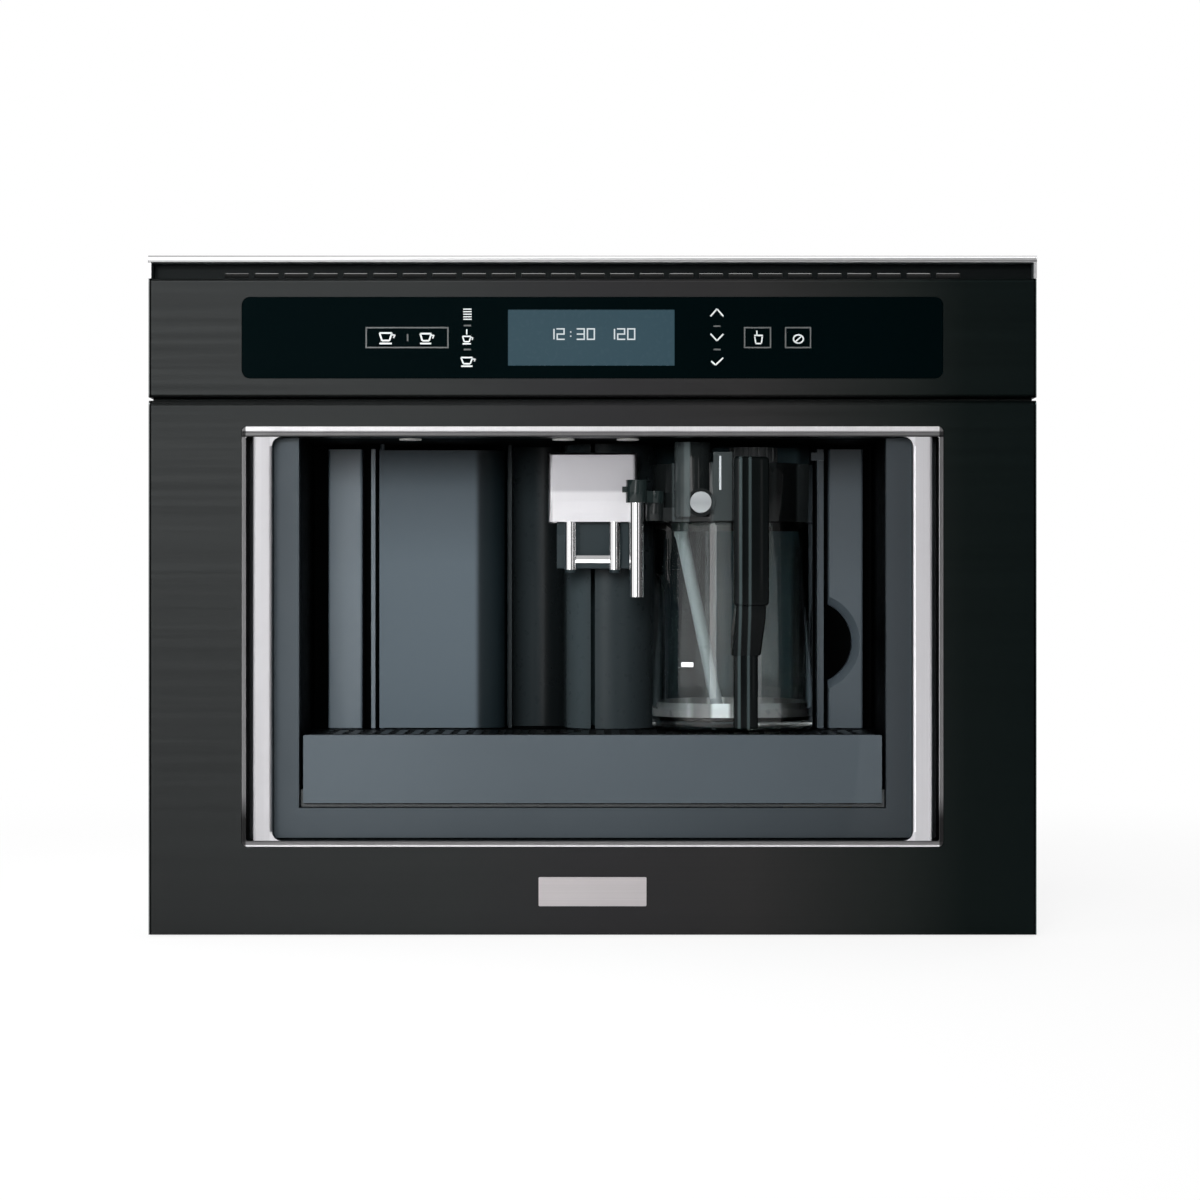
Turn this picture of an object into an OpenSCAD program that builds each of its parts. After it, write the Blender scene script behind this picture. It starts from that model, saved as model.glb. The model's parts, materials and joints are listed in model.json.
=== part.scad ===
// Built-in coffee machine that slides out of its cabinet on two telescopic rails.
// Millimetres. X is to the right, Y to the back, Z up. The origin is under the middle of the machine.
// A depth (d) is counted backwards from the front plane of the fascias.

/* [Front] */
// Width of the fascias and of the trim
front_w = 595; // [590:1:600]
// Depth from the bright lip in front to the flange of the mains inlet
depth = 410; // [408:1:425]
// How far the bright lip stands out of the fascia plane
lip_proud = 1; // [0.6:0.1:1.5]
// Depth of the folded fascias, back to the face of the cabinet
fascia_depth = 22; // [21:0.5:23]
// Sheet of the fascias
fascia_t = 1.2; // [1:0.1:1.5]
// Bevel along the edges of the control fascia
fascia_bevel = 1.5; // [0.5:0.1:2.5]
// Bevel along the top edge of the lower fascia
top_bevel = 3.5; // [1:0.5:5]
// Width of the flange folded in at the back of a fascia
flange_w = 40; // [35:1:45]
// Height of the bright trim strip
trim_h = 4.7; // [4:0.1:6]
// Height of the air gap under the trim strip
vent_h = 10.9; // [9:0.1:12]
// Thickness of the end plates of the trim
trim_end_t = 2; // [1.5:0.1:3]
// Height of the control fascia
ctrl_h = 79.4; // [78:0.2:80]
// Gap between the two fascias
fascia_gap = 2; // [1:0.5:3]

/* [Controls] */
// Width of the control glass
glass_w = 469.2; // [440:1:480]
// Height of the control glass
glass_h = 54.2; // [50:1:58]
// Distance from the top of the control fascia to the glass
glass_drop = 12.4; // [10:0.2:14]
// Corner radius of the control glass
glass_r = 5.5; // [3:0.5:8]
// Thickness of the control glass
glass_t = 4; // [3:0.5:5]
// Width of the display window
lcd_w = 111.5; // [100:1:115]
// Height of the display window
lcd_h = 37.5; // [34:0.5:40]
// Distance from the top of the glass to the display window
lcd_drop = 8.3; // [7:0.1:9]
// Width of the display module behind the glass
module_w = 150; // [130:1:170]

/* [Window in the lower fascia] */
// Width of the window
win_w = 470; // [468:1:480]
// Height of the foot of the window above the foot of the fascia
win_z = 58.9; // [56:0.1:59]
// Height of the lower fascia above its window
win_margin = 17.3; // [16:0.1:19]
// Corner radius of the window
win_r = 4; // [3:0.5:6]
// Width of the upright lips of the bright frame
lip_w = 3; // [2:0.5:4]
// Height of the top band of the bright frame
band_top = 7; // [6:0.5:8]
// Height of the bottom band of the bright frame
band_foot = 4.1; // [3:0.1:4.5]
// Open width between the lip and the grip bar
finger_gap = 4.5; // [4.3:0.1:6]
// Width of a grip bar
bar_w = 13; // [11:0.5:14]
// Thickness of a grip bar
bar_t = 6; // [5:0.5:8]
// Width of the nameplate
plate_w = 72.2; // [60:0.5:80]
// Height of the nameplate
plate_h = 19.4; // [15:0.2:22]
// Height of the foot of the nameplate above the foot of the fascia
plate_z = 19.4; // [16:0.2:24]

/* [Niche] */
// Width between the side walls of the niche
niche_w = 395; // [393:0.5:396]
// Width of the upright strips of the surround
surround_w = 17.5; // [16:0.5:18]
// Depth of the surround behind the fascia plane
surround_d = 14; // [12:0.5:15]
// Height of the bottom strip of the surround
surround_foot = 20.2; // [19:0.2:21]
// Wall of the niche liner
liner_t = 2; // [1.5:0.1:2.5]
// Depth of the back strips and the service door
panel_d = 110; // [108:1:112]
// Depth of the recess for the spout and the carafe
recess_d = 165; // [162:1:170]
// Height of the front of the drip tray
tray_h = 45.9; // [44:0.5:47]
// Gap under the front of the drip tray
tray_gap = 3.2; // [2:0.1:4]
// Depth of the front of the drip tray behind the fascia plane
tray_d = 16; // [15:0.5:17]
// Thickness of the front of the drip tray
tray_front_t = 4; // [3:0.5:4.5]
// Wall of the drip pan
pan_t = 2; // [1.5:0.1:3]
// Thickness of the grille
grille_t = 3.5; // [3:0.1:4.5]
// Width of one slot of the grille
slot_w = 5; // [4.5:0.1:6]
// Distance between neighbouring slots
slot_pitch = 10.5; // [9:0.1:12]

/* [Service door] */
// Width of the brewing chamber behind the door
chamber_w = 88; // [86:1:90]
// Left side of the brewing chamber, from the middle of the machine
chamber_x = 152; // [151:0.5:153]
// Depth of the back of the brewing chamber
chamber_d = 242; // [238:1:246]
// Thickness of the door
door_t = 4; // [3:0.5:5]
// Radius of the rounded opening edge of the door
door_r = 17; // [15:0.5:17]
// Radius of the hinge pins of the door
door_pin_r = 1.6; // [1.2:0.1:1.8]

/* [Column and spout] */
// Radius of the column
column_r = 32; // [31:0.5:32]
// Place of the column, from the middle of the machine
column_x = 12.4; // [12:0.1:13]
// Depth of the middle of the column
column_d = 130; // [128:1:132]
// Wall of the column
column_t = 2.5; // [2:0.1:3]
// Width of the groove that the spout slides in
groove_w = 3; // [2.6:0.1:4]
// Width of the spout block
spout_w = 61.6; // [56:0.2:62]
// Height of the spout block
spout_h = 47.6; // [44:0.2:49]
// Gap between the ceiling of the niche and the spout block, when it is up
spout_drop = 8.2; // [7:0.1:10]
// Depth of the front of the spout block
spout_d = 60; // [58:0.5:62]
// Distance of a nozzle from the middle of the spout
nozzle_x = 15.3; // [14:0.1:17]
// Outer radius of a nozzle
nozzle_r = 4.5; // [4:0.1:5]
// Length of a nozzle
nozzle_len = 33; // [30:0.5:36]
// Bore radius of a nozzle
nozzle_bore = 3; // [2:0.1:3.3]

/* [Carafe] */
// Place of the carafe, from the middle of the machine
carafe_x = 97; // [96:0.5:98]
// Depth of the middle of the carafe
carafe_d = 82; // [81:0.5:83]
// Radius of the round ends of the carafe
carafe_r = 50; // [49:0.2:50.4]
// Distance of the round ends from the middle of the carafe
carafe_flat = 5.6; // [4:0.2:6]
// Wall of the glass
carafe_t = 2.5; // [2:0.1:3.5]
// Height of the glass
carafe_h = 143.2; // [140:0.2:144]
// Height of the lid
lid_h = 40; // [38:0.5:41]
// Gap between the lid and the ceiling of the niche
lid_gap = 16.2; // [15:0.1:18]
// Wall of the lid
lid_t = 2.5; // [2:0.1:3]
// Turn of the handle about the carafe
handle_turn = 7.6; // [5:0.2:9]
// Width of the grip
grip_w = 24; // [20:0.5:26]
// Thickness of the grip
grip_t = 10; // [8:0.5:11]
// Reach of the grip from the middle of the carafe
grip_reach = 78; // [76:0.5:78]
// Width of the rib under the grip
rib_w = 16.6; // [14:0.2:18]
// Radius of the frothing tower
tower_r = 12.4; // [11:0.2:13]
// Radius of the milk spout tube
milk_r = 5; // [4:0.1:5.5]
// Bore radius of the milk spout tube
milk_bore = 3.5; // [2.5:0.1:3.7]
// Length of the milk spout tube
milk_len = 70; // [60:1:75]
// Radius of the clean button
button_r = 7.2; // [6:0.1:7.5]
// Travel of the clean button
button_travel = 2.5; // [1.5:0.1:3]
// Radius of the froth dial
dial_r = 17; // [14:0.5:18]

/* [Rails] */
// Width of the cabinet opening
cab_w = 560; // [558:0.5:562]
// Thickness of a telescopic rail
rail_t = 13; // [12.8:0.1:13.5]
// Height of a telescopic rail
rail_h = 45.5; // [45:0.5:47]
// Length of a telescopic rail
rail_len = 360; // [350:1:365]
// Height of the middle of the rails
rail_z = 85; // [75:1:95]
// Sheet of the rail members
rail_sheet = 1.4; // [1.2:0.1:1.5]
// Distance between the screw holes of a cabinet rail
rail_pitch = 224; // [192:32:256]
// Radius of the screw holes of a cabinet rail
rail_hole_r = 2.25; // [2:0.05:2.75]

/* [Chassis and works] */
// Sheet of the housing
housing_t = 1; // [0.8:0.1:1.5]
// Height of the foot of the housing
housing_z = 5; // [4:0.5:7]
// Thickness of the inlet flange on the rear panel
inlet_proud = 3; // [2:0.2:4]
// Width of the water tank
tank_w = 100; // [90:1:104]
// Depth of the water tank, front to back
tank_len = 180; // [160:1:184]
// Place of the water tank, from the middle of the machine
tank_x = 196; // [194:1:198]
// Wall of the water tank
tank_t = 2.5; // [2:0.1:3]
// Height of the seat of the water tank
tank_z = 290; // [285:1:295]
// Radius of the brewing piston
piston_r = 25; // [22:0.5:26]
// Stroke of the brewing piston
piston_travel = 30; // [20:1:32]
// Radius of the coffee boiler
boiler_r = 32; // [28:1:34]
// Radius of the steam boiler
steam_r = 27; // [24:1:30]
// Radius of the pump's coil
pump_r = 22; // [18:0.5:24]
// Radius of the grinder housing
grinder_r = 34; // [30:0.5:34]
// Outer radius of a hose
hose_r = 3; // [2.5:0.1:3.5]

/* [Hidden] */
$fn = 48;
// Overshoot of a cut past the face that it opens
e = 1;
// Gap between pieces of one body that lie against each other
fit = 0.2;
// Gap between pieces that move past each other
clear = 0.3;

// Depths
fascia_y = -depth / 2 + lip_proud;
rear_d = depth - lip_proud;
back_d = rear_d - inlet_proud;
frame_d = fascia_depth + 2;
seat_w = (front_w - cab_w) / 2 - 2;

// Heights, built up from the foot of the lower fascia by way of the tray and the carafe
surround_z = win_z + band_foot + 0.9;
bed_z = surround_z + surround_foot;
tray_z = bed_z + tray_gap;
tray_top = tray_z + tray_h;
grille_z = tray_top + clear;
floor_z = grille_z + 0.4;
carafe_z = floor_z + 0.4;
lid_z = carafe_z + carafe_h + clear;
lid_top = lid_z + lid_h;
ceiling_z = lid_top + lid_gap;
band_z = [win_z + band_foot, ceiling_z - clear];
win_top = band_z[1] + band_top;
lower_top = win_top + win_margin;
ctrl_z = lower_top + fascia_gap;
ctrl_top = ctrl_z + ctrl_h;
trim_z = ctrl_top + vent_h;
front_h = trim_z + trim_h;
glass_z = ctrl_top - glass_drop - glass_h;
lcd_z = glass_z + glass_h - lcd_drop - lcd_h;
lcd_x = -0.85;

// Grip bars and surround
bar_out = win_w / 2 - lip_w - finger_gap;
bar_in = bar_out - bar_w;
niche_x = niche_w / 2;
surround_in = niche_x + clear;

// Niche
panel_back = panel_d + 15;
floor_d = 97.5;
tray_x = niche_x - 2.3;
pan_x = niche_x - 5;
pan_d = recess_d - 5;
pan_z = bed_z + 3.9;
chamber_right = -chamber_x + chamber_w;
recess_x = 156;
strip_left = [-186.3, -162.4];
strip_right = [165.9, 190.2];
notch_at = [153.3, 194.4];
notch_r = 29.6;
notch_bevel = 5.3;

// Door: its hinge axis, and the height between its two ends
hinge_x = -chamber_x + 3.6;
hinge_d = panel_d + door_t / 2;
door_z = [floor_z + 0.4, ceiling_z - 4.2];
door_x = [-chamber_x + 1.6, chamber_right + 2];

// Column: the trough between the door and the column
trough_x = [door_x[1] + 2.2, column_x - column_r];
trough_r = (trough_x[1] - trough_x[0] - column_t) / 2;
trough_mid = trough_x[1] - trough_r;
lamp_x = [-124, -20, 24];
lamp_d = 35;
lamp_r = 7.5;

// Spout
spout_z = ceiling_z - spout_drop - spout_h;
spout_depth = 35;
tongue_w = groove_w - 2 * clear;
tongue_z = [spout_z + 8, spout_z + spout_h - 6];
spout_wall = 2;
nozzle_d = spout_d + spout_wall + nozzle_r + clear;
nozzle_z = spout_z - nozzle_len;

// Carafe
tower = [carafe_x - 29, carafe_d - 44];
tower_top = ceiling_z - 2.5;
button_at = [carafe_x - 23.8, lid_z + 12.7];
button_d = 20.5;
button_head = 6.5;
milk_at = [carafe_x - 66.9, carafe_d - 37];
milk_pivot = [milk_at[0] + 12.6, milk_at[1] + 5];
milk_z = lid_z + 12.7;
arm_z = [milk_z + clear, milk_z + 15.8];
dial_at = [carafe_x + 15, carafe_d + 13];
intake_at = [carafe_x - 36, carafe_d - 16];
dock_z = lid_z + 22;
dock_pin_x = 26;
dock_plate = [36, 11];
dock_reach = 44;

// Rails, from the cabinet wall inwards and from the middle upwards
rail_d = 30;
rail_hole_d = rail_d + 37;
race = rail_h / 2 - rail_sheet;
mid_h = race - 4.35;
inner_h = mid_h - rail_sheet - 3.2;
ball_r = (race - mid_h - clear) / 2;
small_r = (mid_h - rail_sheet - inner_h - clear) / 2;
mid_u = rail_sheet * 2;

// Housing
house_x = cab_w / 2 - rail_t;
cover_z = front_h - 12;
cover_t = 2;
inner_x = house_x - housing_t;
pan_lip = 15;
screw_z = [housing_z + 55, (housing_z + cover_z) / 2 + 16, cover_z - 33];

// Works
funnel_w = 24;
funnel_d = [chamber_d - 6 - funnel_w, chamber_d - 6];
funnel_x = [chamber_right - 2 - funnel_w, chamber_right - 2];
funnel_t = 2;
funnel_flare = 4;
grinder_gap = 9;
grinder_rim = 2;
grinder_at = [-chamber_x + chamber_w / 2, funnel_d[0] - funnel_t - grinder_gap - grinder_rim - grinder_r];
motor_r = 20;
motor_at = [grinder_at[0] - grinder_r - motor_r - 6, grinder_at[1]];
grinder_z = ceiling_z + liner_t + fit;
burr_top = grinder_z + 52;
hopper_front = 45;
hopper_w = 130;
hopper_right = 48;
hopper_x = [grinder_at[0] + hopper_right - hopper_w, grinder_at[0] + hopper_right];
hopper_d = [grinder_at[1] - hopper_front, funnel_d[0] - funnel_flare - 8];
hopper_t = 2;
knob_r = 15;
knob_at = [hopper_x[1] + 13 + knob_r, grinder_at[1] - knob_r];
tank_d = [rear_d - 23 - tank_len, rear_d - 23];
tank_top = cover_z - 10;
tank_r = 10;
tank_gap = 3;
valve_r = 8;
valve_at = [tank_x, tank_d[0] + 30];
well_x = [tank_x - tank_w / 2 - tank_gap, tank_x + tank_w / 2 + tank_gap];
well_d = [tank_d[0] - tank_gap, tank_d[1] + tank_gap];
brew_at = [-chamber_x + chamber_w / 2, chamber_d - 62];
brew_half = 38;
brew_z = 205;
brew_top = ceiling_z - 10;
piston_h = 22;
guide_h = 31;
cylinder_z = brew_z + 72;
rod_r = 8;
bin_top = 200;
coffee_at = [0, 260];
coffee_z = [150, 250];
steam_at = [90, 260];
steam_z = [180, 270];
pump_at = [330, 62];
pump_x = [112, 200];
board_x = -250;
board_d = [210, 370];
board_z = [150, 350];
inlet_at = [-180, 60];
rocker_at = [-128, 60];
rocker_tilt = 8;
hose_sides = 8;
hose_steps = 4;
hose_run = 25;

// Lid hinges: height of the axis above its face, radii of the pin and the barrel, and each lid's own axis
pin_z = 2.6;
pin_r = 1.2;
barrel_r = 2.2;
lid_plate = 2.2;
bean_axis = hopper_d[1] + 6;
bean_barrel = [hopper_x[0] + 20, grinder_at[0] - 8];
ground_axis = funnel_d[1] + funnel_flare + 7;
ground_barrel = [funnel_x[0] + 2, funnel_x[1] - 2];
tank_axis = tank_d[1] - 5;
tank_barrel = [tank_x - tank_w / 2 + 16, tank_x + tank_w / 2 - 16];

// Float of the drip tray, on its own pin
float_at = [-20, 50];
float_pin = 2;
float_seat = 14;
float_r = 12;
flag_r = 5.5;
float_z = pan_z + float_seat + clear;

function yd(d) = fascia_y + d;

// Block between two x, two depths and two heights
module slab(x, d, z) {
    translate([x[0], yd(d[0]), z[0]])
        cube([x[1] - x[0], d[1] - d[0], z[1] - z[0]]);
}

// Outline drawn in x and height, carried from one depth to another
module along_y(d) {
    translate([0, yd(d[1]), 0])
        rotate([90, 0, 0])
            linear_extrude(height = d[1] - d[0])
                children();
}

// Outline drawn in depth and height, carried from one x to another
module along_x(x) {
    translate([x[0], fascia_y, 0])
        rotate([90, 0, 90])
            linear_extrude(height = x[1] - x[0])
                children();
}

// Outline drawn in x and depth, carried from one height to another
module along_z(z) {
    translate([0, fascia_y, z[0]])
        linear_extrude(height = z[1] - z[0])
            children();
}

// Round bar or bore along one axis
module post(at, z, r) {
    translate([at[0], yd(at[1]), z[0]])
        cylinder(r = r, h = z[1] - z[0]);
}

module rod_y(at, d, r) {
    translate([at[0], yd(d[0]), at[1]])
        rotate([-90, 0, 0])
            cylinder(r = r, h = d[1] - d[0]);
}

module rod_x(at, x, r) {
    translate([x[0], yd(at[0]), at[1]])
        rotate([0, 90, 0])
            cylinder(r = r, h = x[1] - x[0]);
}

module rect(a, b) {
    translate([a[0], b[0]])
        square([a[1] - a[0], b[1] - b[0]]);
}

module round_rect(a, b, r) {
    rect([a[0] + r, a[1] - r], b);
    rect(a, [b[0] + r, b[1] - r]);
    for (p = [a[0] + r, a[1] - r], q = [b[0] + r, b[1] - r])
        translate([p, q])
            circle(r = r);
}

module both_sides() {
    children();
    mirror([1, 0, 0])
        children();
}

// Rectangle with its corners cut off at 45 degrees, each by its own amount
module cut_rect(a, b, c) {
    polygon([[a[0] + c[0], b[0]], [a[1] - c[1], b[0]], [a[1], b[0] + c[1]], [a[1], b[1] - c[2]],
        [a[1] - c[2], b[1]], [a[0] + c[3], b[1]], [a[0], b[1] - c[3]], [a[0], b[0] + c[0]]]);
}

// Telescopic rails
module rail_pair(d) {
    both_sides()
        along_y(d)
            translate([cab_w / 2, rail_z])
                mirror([1, 0])
                    children();
}

module channel(u, v, t) {
    difference() {
        rect(u, [-v, v]);
        rect([u[0] + t, u[1] + e], [t - v, v - t]);
    }
}

module cabinet_rails() {
    lip = 3.85;
    reach = rail_t - 1;
    color("silver")
        difference() {
            rail_pair([rail_d, rail_d + rail_len])
                union() {
                    channel([0, reach], rail_h / 2, rail_sheet);
                    for (s = [0, 1])
                        mirror([0, s])
                            rect([reach - rail_sheet, reach], [race - lip, race + e / 2]);
                }
            both_sides()
                for (n = [0, 1])
                    rod_x([rail_hole_d + n * rail_pitch, rail_z], [cab_w / 2 - rail_sheet - e, cab_w / 2 + e],
                        rail_hole_r);
        }
}

module middle_rails() {
    reach = rail_t - 2;
    access_r = 5;
    color("silver")
        difference() {
            rail_pair([rail_d, rail_d + rail_len])
                channel([mid_u, reach], mid_h, rail_sheet);
            both_sides()
                for (n = [0, 1])
                    rod_x([rail_hole_d + n * rail_pitch, rail_z], [cab_w / 2 - rail_t, cab_w / 2], access_r);
        }
}

module ball_row(u, v, r, d) {
    pitch = 18;
    count = floor((d[1] - d[0] - 8) / pitch);
    for (s = [-1, 1], n = [0 : count])
        both_sides()
            translate([cab_w / 2 - u, yd(d[0] + 6 + n * pitch), rail_z + s * v])
                sphere(r = r);
}

module rail_balls() {
    cage_len = 150;
    ball_v = mid_h + ball_r;
    small_v = mid_h - rail_sheet - small_r;
    back = [rail_d + rail_len - cage_len, rail_d + rail_len];
    front = [rail_d, rail_d + cage_len];
    inner_u = mid_u + rail_sheet + clear;
    color("gray") {
        ball_row(6.5, ball_v, ball_r, back);
        rail_pair(back)
            difference() {
                rect([rail_sheet + clear, 9], [-ball_v - 0.4, ball_v + 0.4]);
                rect([mid_u - clear, 10], [0.4 - ball_v, ball_v - 0.4]);
            }
        ball_row(8.2, small_v, small_r, front);
        rail_pair(front)
            difference() {
                rect([inner_u, 10], [-small_v - 0.3, small_v + 0.3]);
                rect([inner_u + 0.6, 11], [0.3 - small_v, small_v - 0.3]);
            }
    }
}

module machine_rails() {
    color("silver")
        rail_pair([rail_d, rail_d + rail_len])
            difference() {
                rect([rail_t - 7.3, rail_t], [-inner_h, inner_h]);
                rect([rail_t - 8, rail_t - rail_sheet], [rail_sheet - inner_h, inner_h - rail_sheet]);
            }
}

// Housing of folded sheet
module stand(x, d, z, t) {
    slab(x, d, [z[1] - t, z[1]]);
    slab([x[0], x[0] + t], d, z);
    slab([x[1] - t, x[1]], d, z);
    slab([x[0] - 8, x[0]], d, [z[0], z[0] + t]);
    slab([x[1], x[1] + 8], d, [z[0], z[0] + t]);
}

module base_pan() {
    lip = pan_lip;
    t = 1.2;
    z = [housing_z, housing_z + t];
    x = inner_x - fit;
    d = [frame_d, back_d - housing_t - fit];
    color("lightgray") {
        slab([-x, x], d, z);
        both_sides()
            slab([x - t, x], d, [z[0], z[0] + lip]);
        slab([-x, x], [d[0], d[0] + t], [z[0], z[0] + lip]);
        slab([-x, x], [d[1] - t, d[1]], [z[0], z[0] + lip]);
        stand([coffee_at[0] - 20, coffee_at[0] + 20], [coffee_at[1] - 20, coffee_at[1] + 20],
            [z[1], coffee_z[0] - 8], 1.5);
        stand([steam_at[0] - 18, steam_at[0] + 18], [steam_at[1] - 18, steam_at[1] + 18],
            [z[1], steam_z[0] - 8], 1.5);
        for (p = [pump_x[0] + 14, pump_x[1] - 22])
            slab([p, p + 8], [pump_at[0] - 12, pump_at[0] + 12], [z[1], pump_at[1] - 15 - fit]);
    }
}

module side_panel(s) {
    lip = 12;
    z = [housing_z, cover_z - cover_t - fit];
    d = [frame_d, back_d - housing_t - fit];
    vent_z = [130, 190, 250, 310];
    color("lightgray")
        mirror([s < 0 ? 1 : 0, 0, 0])
            difference() {
                union() {
                    slab([inner_x, house_x], d, z);
                    slab([inner_x - lip, inner_x + e / 2], [d[1] - housing_t, d[1]],
                        [z[0] + pan_lip + e, z[1]]);
                    slab([inner_x - lip, inner_x + e / 2], d, [z[1] - housing_t, z[1]]);
                }
                for (v = vent_z, n = [0 : 7])
                    slab([inner_x - e, house_x + e], [250 + n * 14, 254 + n * 14], [v, v + 34]);
                for (h = screw_z)
                    rod_y([inner_x - lip / 2, h], [d[1] - housing_t - e, d[1] + e], 1.7);
            }
}

module side_panel_left() {
    side_panel(-1);
}

module side_panel_right() {
    side_panel(1);
}

module rear_panel() {
    d = [back_d - housing_t, back_d];
    x = house_x - fit;
    z = [housing_z, cover_z - cover_t - fit];
    color("lightgray")
        difference() {
            slab([-x, x], d, z);
            along_y([d[0] - e, d[1] + e])
                rect([inlet_at[0] - 13.8, inlet_at[0] + 13.8], [inlet_at[1] - 10, inlet_at[1] + 10]);
            along_y([d[0] - e, d[1] + e])
                rect([rocker_at[0] - 9.8, rocker_at[0] + 9.8], [rocker_at[1] - 13.8, rocker_at[1] + 13.8]);
            for (row = [0 : 5], n = [0 : 15])
                slab([-150 + n * 20, -138 + n * 20], [d[0] - e, d[1] + e], [200 + row * 12, 204 + row * 12]);
            both_sides()
                for (h = screw_z)
                    rod_y([inner_x - 6, h], [d[0] - e, d[1] + e], 1.7);
        }
}

// Two lugs that hold the pins of a lid's barrel, on a face of height z
module lugs(x, d, z) {
    for (p = [x[0] - 3.6, x[1] + 0.6])
        difference() {
            union() {
                rod_x([d, z + pin_z], [p, p + 3], barrel_r + fit);
                slab([p, p + 3], [d - barrel_r - fit, d + barrel_r + fit], [z - fit, z + pin_z]);
            }
            rod_x([d, z + pin_z], [p - e, p + 3 + e], pin_r + clear);
        }
}

// Barrel of a lid with its two pins, for lugs on a face of height z
module barrel(x, d, z) {
    rod_x([d, z + pin_z], x, barrel_r);
    rod_x([d, z + pin_z], [x[0] - 3.4, x[1] + 3.4], pin_r);
}

module top_cover() {
    x = house_x;
    d = [frame_d, back_d];
    color("dimgray")
        difference() {
            union() {
                slab([-x, x], d, [cover_z - cover_t, cover_z]);
                along_z([tank_z - clear - 2, cover_z])
                    round_rect([well_x[0] - 2, well_x[1] + 2], [well_d[0] - 2, well_d[1] + 2], tank_r);
                lugs(bean_barrel, bean_axis, cover_z);
                lugs(ground_barrel, ground_axis, cover_z);
            }
            along_z([tank_z - clear, cover_z + e])
                round_rect(well_x, well_d, tank_r - 2);
            post(valve_at, [tank_z - 10, tank_z + e], valve_r + 1);
            along_z([cover_z - cover_t - e, cover_z + e]) {
                rect([hopper_x[0] - fit, hopper_x[1] + fit], [hopper_d[0] - fit, hopper_d[1] + fit]);
                rect([funnel_x[0] - funnel_flare - fit, funnel_x[1] + funnel_flare + fit],
                    [funnel_d[0] - funnel_flare - fit, funnel_d[1] + funnel_flare + fit]);
                for (n = [0 : 13])
                    rect([10 + n * 8, 14 + n * 8], [60, 110]);
            }
            post(knob_at, [cover_z - cover_t - e, cover_z + e], 6 + clear);
        }
}

module front_frame() {
    win = niche_x + liner_t + fit;
    color("gray")
        difference() {
            slab([-inner_x, inner_x], [fascia_depth, frame_d], [housing_z, cover_z - cover_t - fit]);
            slab([-win, win], [fascia_depth - e, frame_d + e], [bed_z - fit, ceiling_z + liner_t + fit]);
            both_sides()
                for (h = [30, cover_z - 53])
                    slab([180, 220], [fascia_depth - e, frame_d + e], [h, h + 12]);
        }
}

// Front: trim, fascias, glass
module top_trim() {
    x = front_w / 2;
    wall_d = fascia_depth - 6;
    slot_z = ctrl_top + 1.5;
    slot_h = 3;
    rise = vent_h - 6;
    color("silver")
        difference() {
            union() {
                intersection() {
                    slab([-x, x], [-lip_proud, fascia_depth], [trim_z, front_h]);
                    along_x([-x, x])
                        cut_rect([-lip_proud, fascia_depth], [trim_z, front_h], [0.4, 0.01, 0.01, 1.6]);
                }
                both_sides()
                    slab([x - trim_end_t, x], [0, fascia_depth], [ctrl_top + fit, trim_z + e / 2]);
                slab([-x, x], [wall_d, fascia_depth], [ctrl_top + fit, trim_z + e / 2]);
            }
            for (n = [-12 : 12])
                along_x([n * 20 - 8, n * 20 + 8])
                    polygon([[wall_d - e, slot_z], [fascia_depth + e, slot_z + rise],
                        [fascia_depth + e, slot_z + rise + slot_h], [wall_d - e, slot_z + slot_h]]);
        }
}

// Folded fascia: a front sheet with returns, and flanges folded in at the back
module folded(z, top_cut, foot_cut) {
    x = front_w / 2;
    t = fascia_t;
    difference() {
        intersection() {
            along_x([-x, x])
                cut_rect([0, fascia_depth], z, [foot_cut, 0.01, 0.01, top_cut]);
            along_z(z)
                cut_rect([-x, x], [0, fascia_depth], [foot_cut, foot_cut, 0.01, 0.01]);
        }
        slab([t - x, x - t], [top_cut + t, fascia_depth - t], [z[0] + t, z[1] - t]);
        slab([t + foot_cut - x, x - t - foot_cut], [t, top_cut + t + e],
            [z[0] + foot_cut + t, z[1] - top_cut - t]);
        slab([flange_w - x, x - flange_w], [fascia_depth - t - e, fascia_depth + e], [z[0] + 16, z[1] - 12]);
        slab([seat_w - x, x - seat_w], [fascia_depth - fit, fascia_depth + e], [z[0] - e, z[1] + e]);
    }
}

module control_fascia() {
    color("dimgray")
        difference() {
            folded([ctrl_z, ctrl_top], fascia_bevel, fascia_bevel);
            along_y([-e, fascia_t + e])
                round_rect([-glass_w / 2 - fit, glass_w / 2 + fit], [glass_z - fit, glass_z + glass_h + fit],
                    glass_r + fit);
        }
}

module control_glass() {
    color("black")
        difference() {
            along_y([-0.4, glass_t - 0.4])
                round_rect([-glass_w / 2, glass_w / 2], [glass_z, glass_z + glass_h], glass_r);
            along_y([-e, glass_t + e])
                rect([lcd_x - lcd_w / 2, lcd_x + lcd_w / 2], [lcd_z, lcd_z + lcd_h]);
        }
}

module display_screen() {
    bracket_h = 30;
    bracket_z = glass_z + (glass_h - bracket_h) / 2;
    color("slategray") {
        along_y([-0.4, glass_t])
            rect([lcd_x - lcd_w / 2 + fit, lcd_x + lcd_w / 2 - fit], [lcd_z + fit, lcd_z + lcd_h - fit]);
        slab([lcd_x - module_w / 2, lcd_x + module_w / 2], [glass_t - 0.4 + fit, fascia_depth],
            [glass_z + 4, glass_z + glass_h - 4]);
        both_sides()
            slab([glass_w / 2 - 70, glass_w / 2 - 20], [glass_t - 0.4 + fit, fascia_depth],
                [bracket_z, bracket_z + bracket_h]);
    }
}

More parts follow.
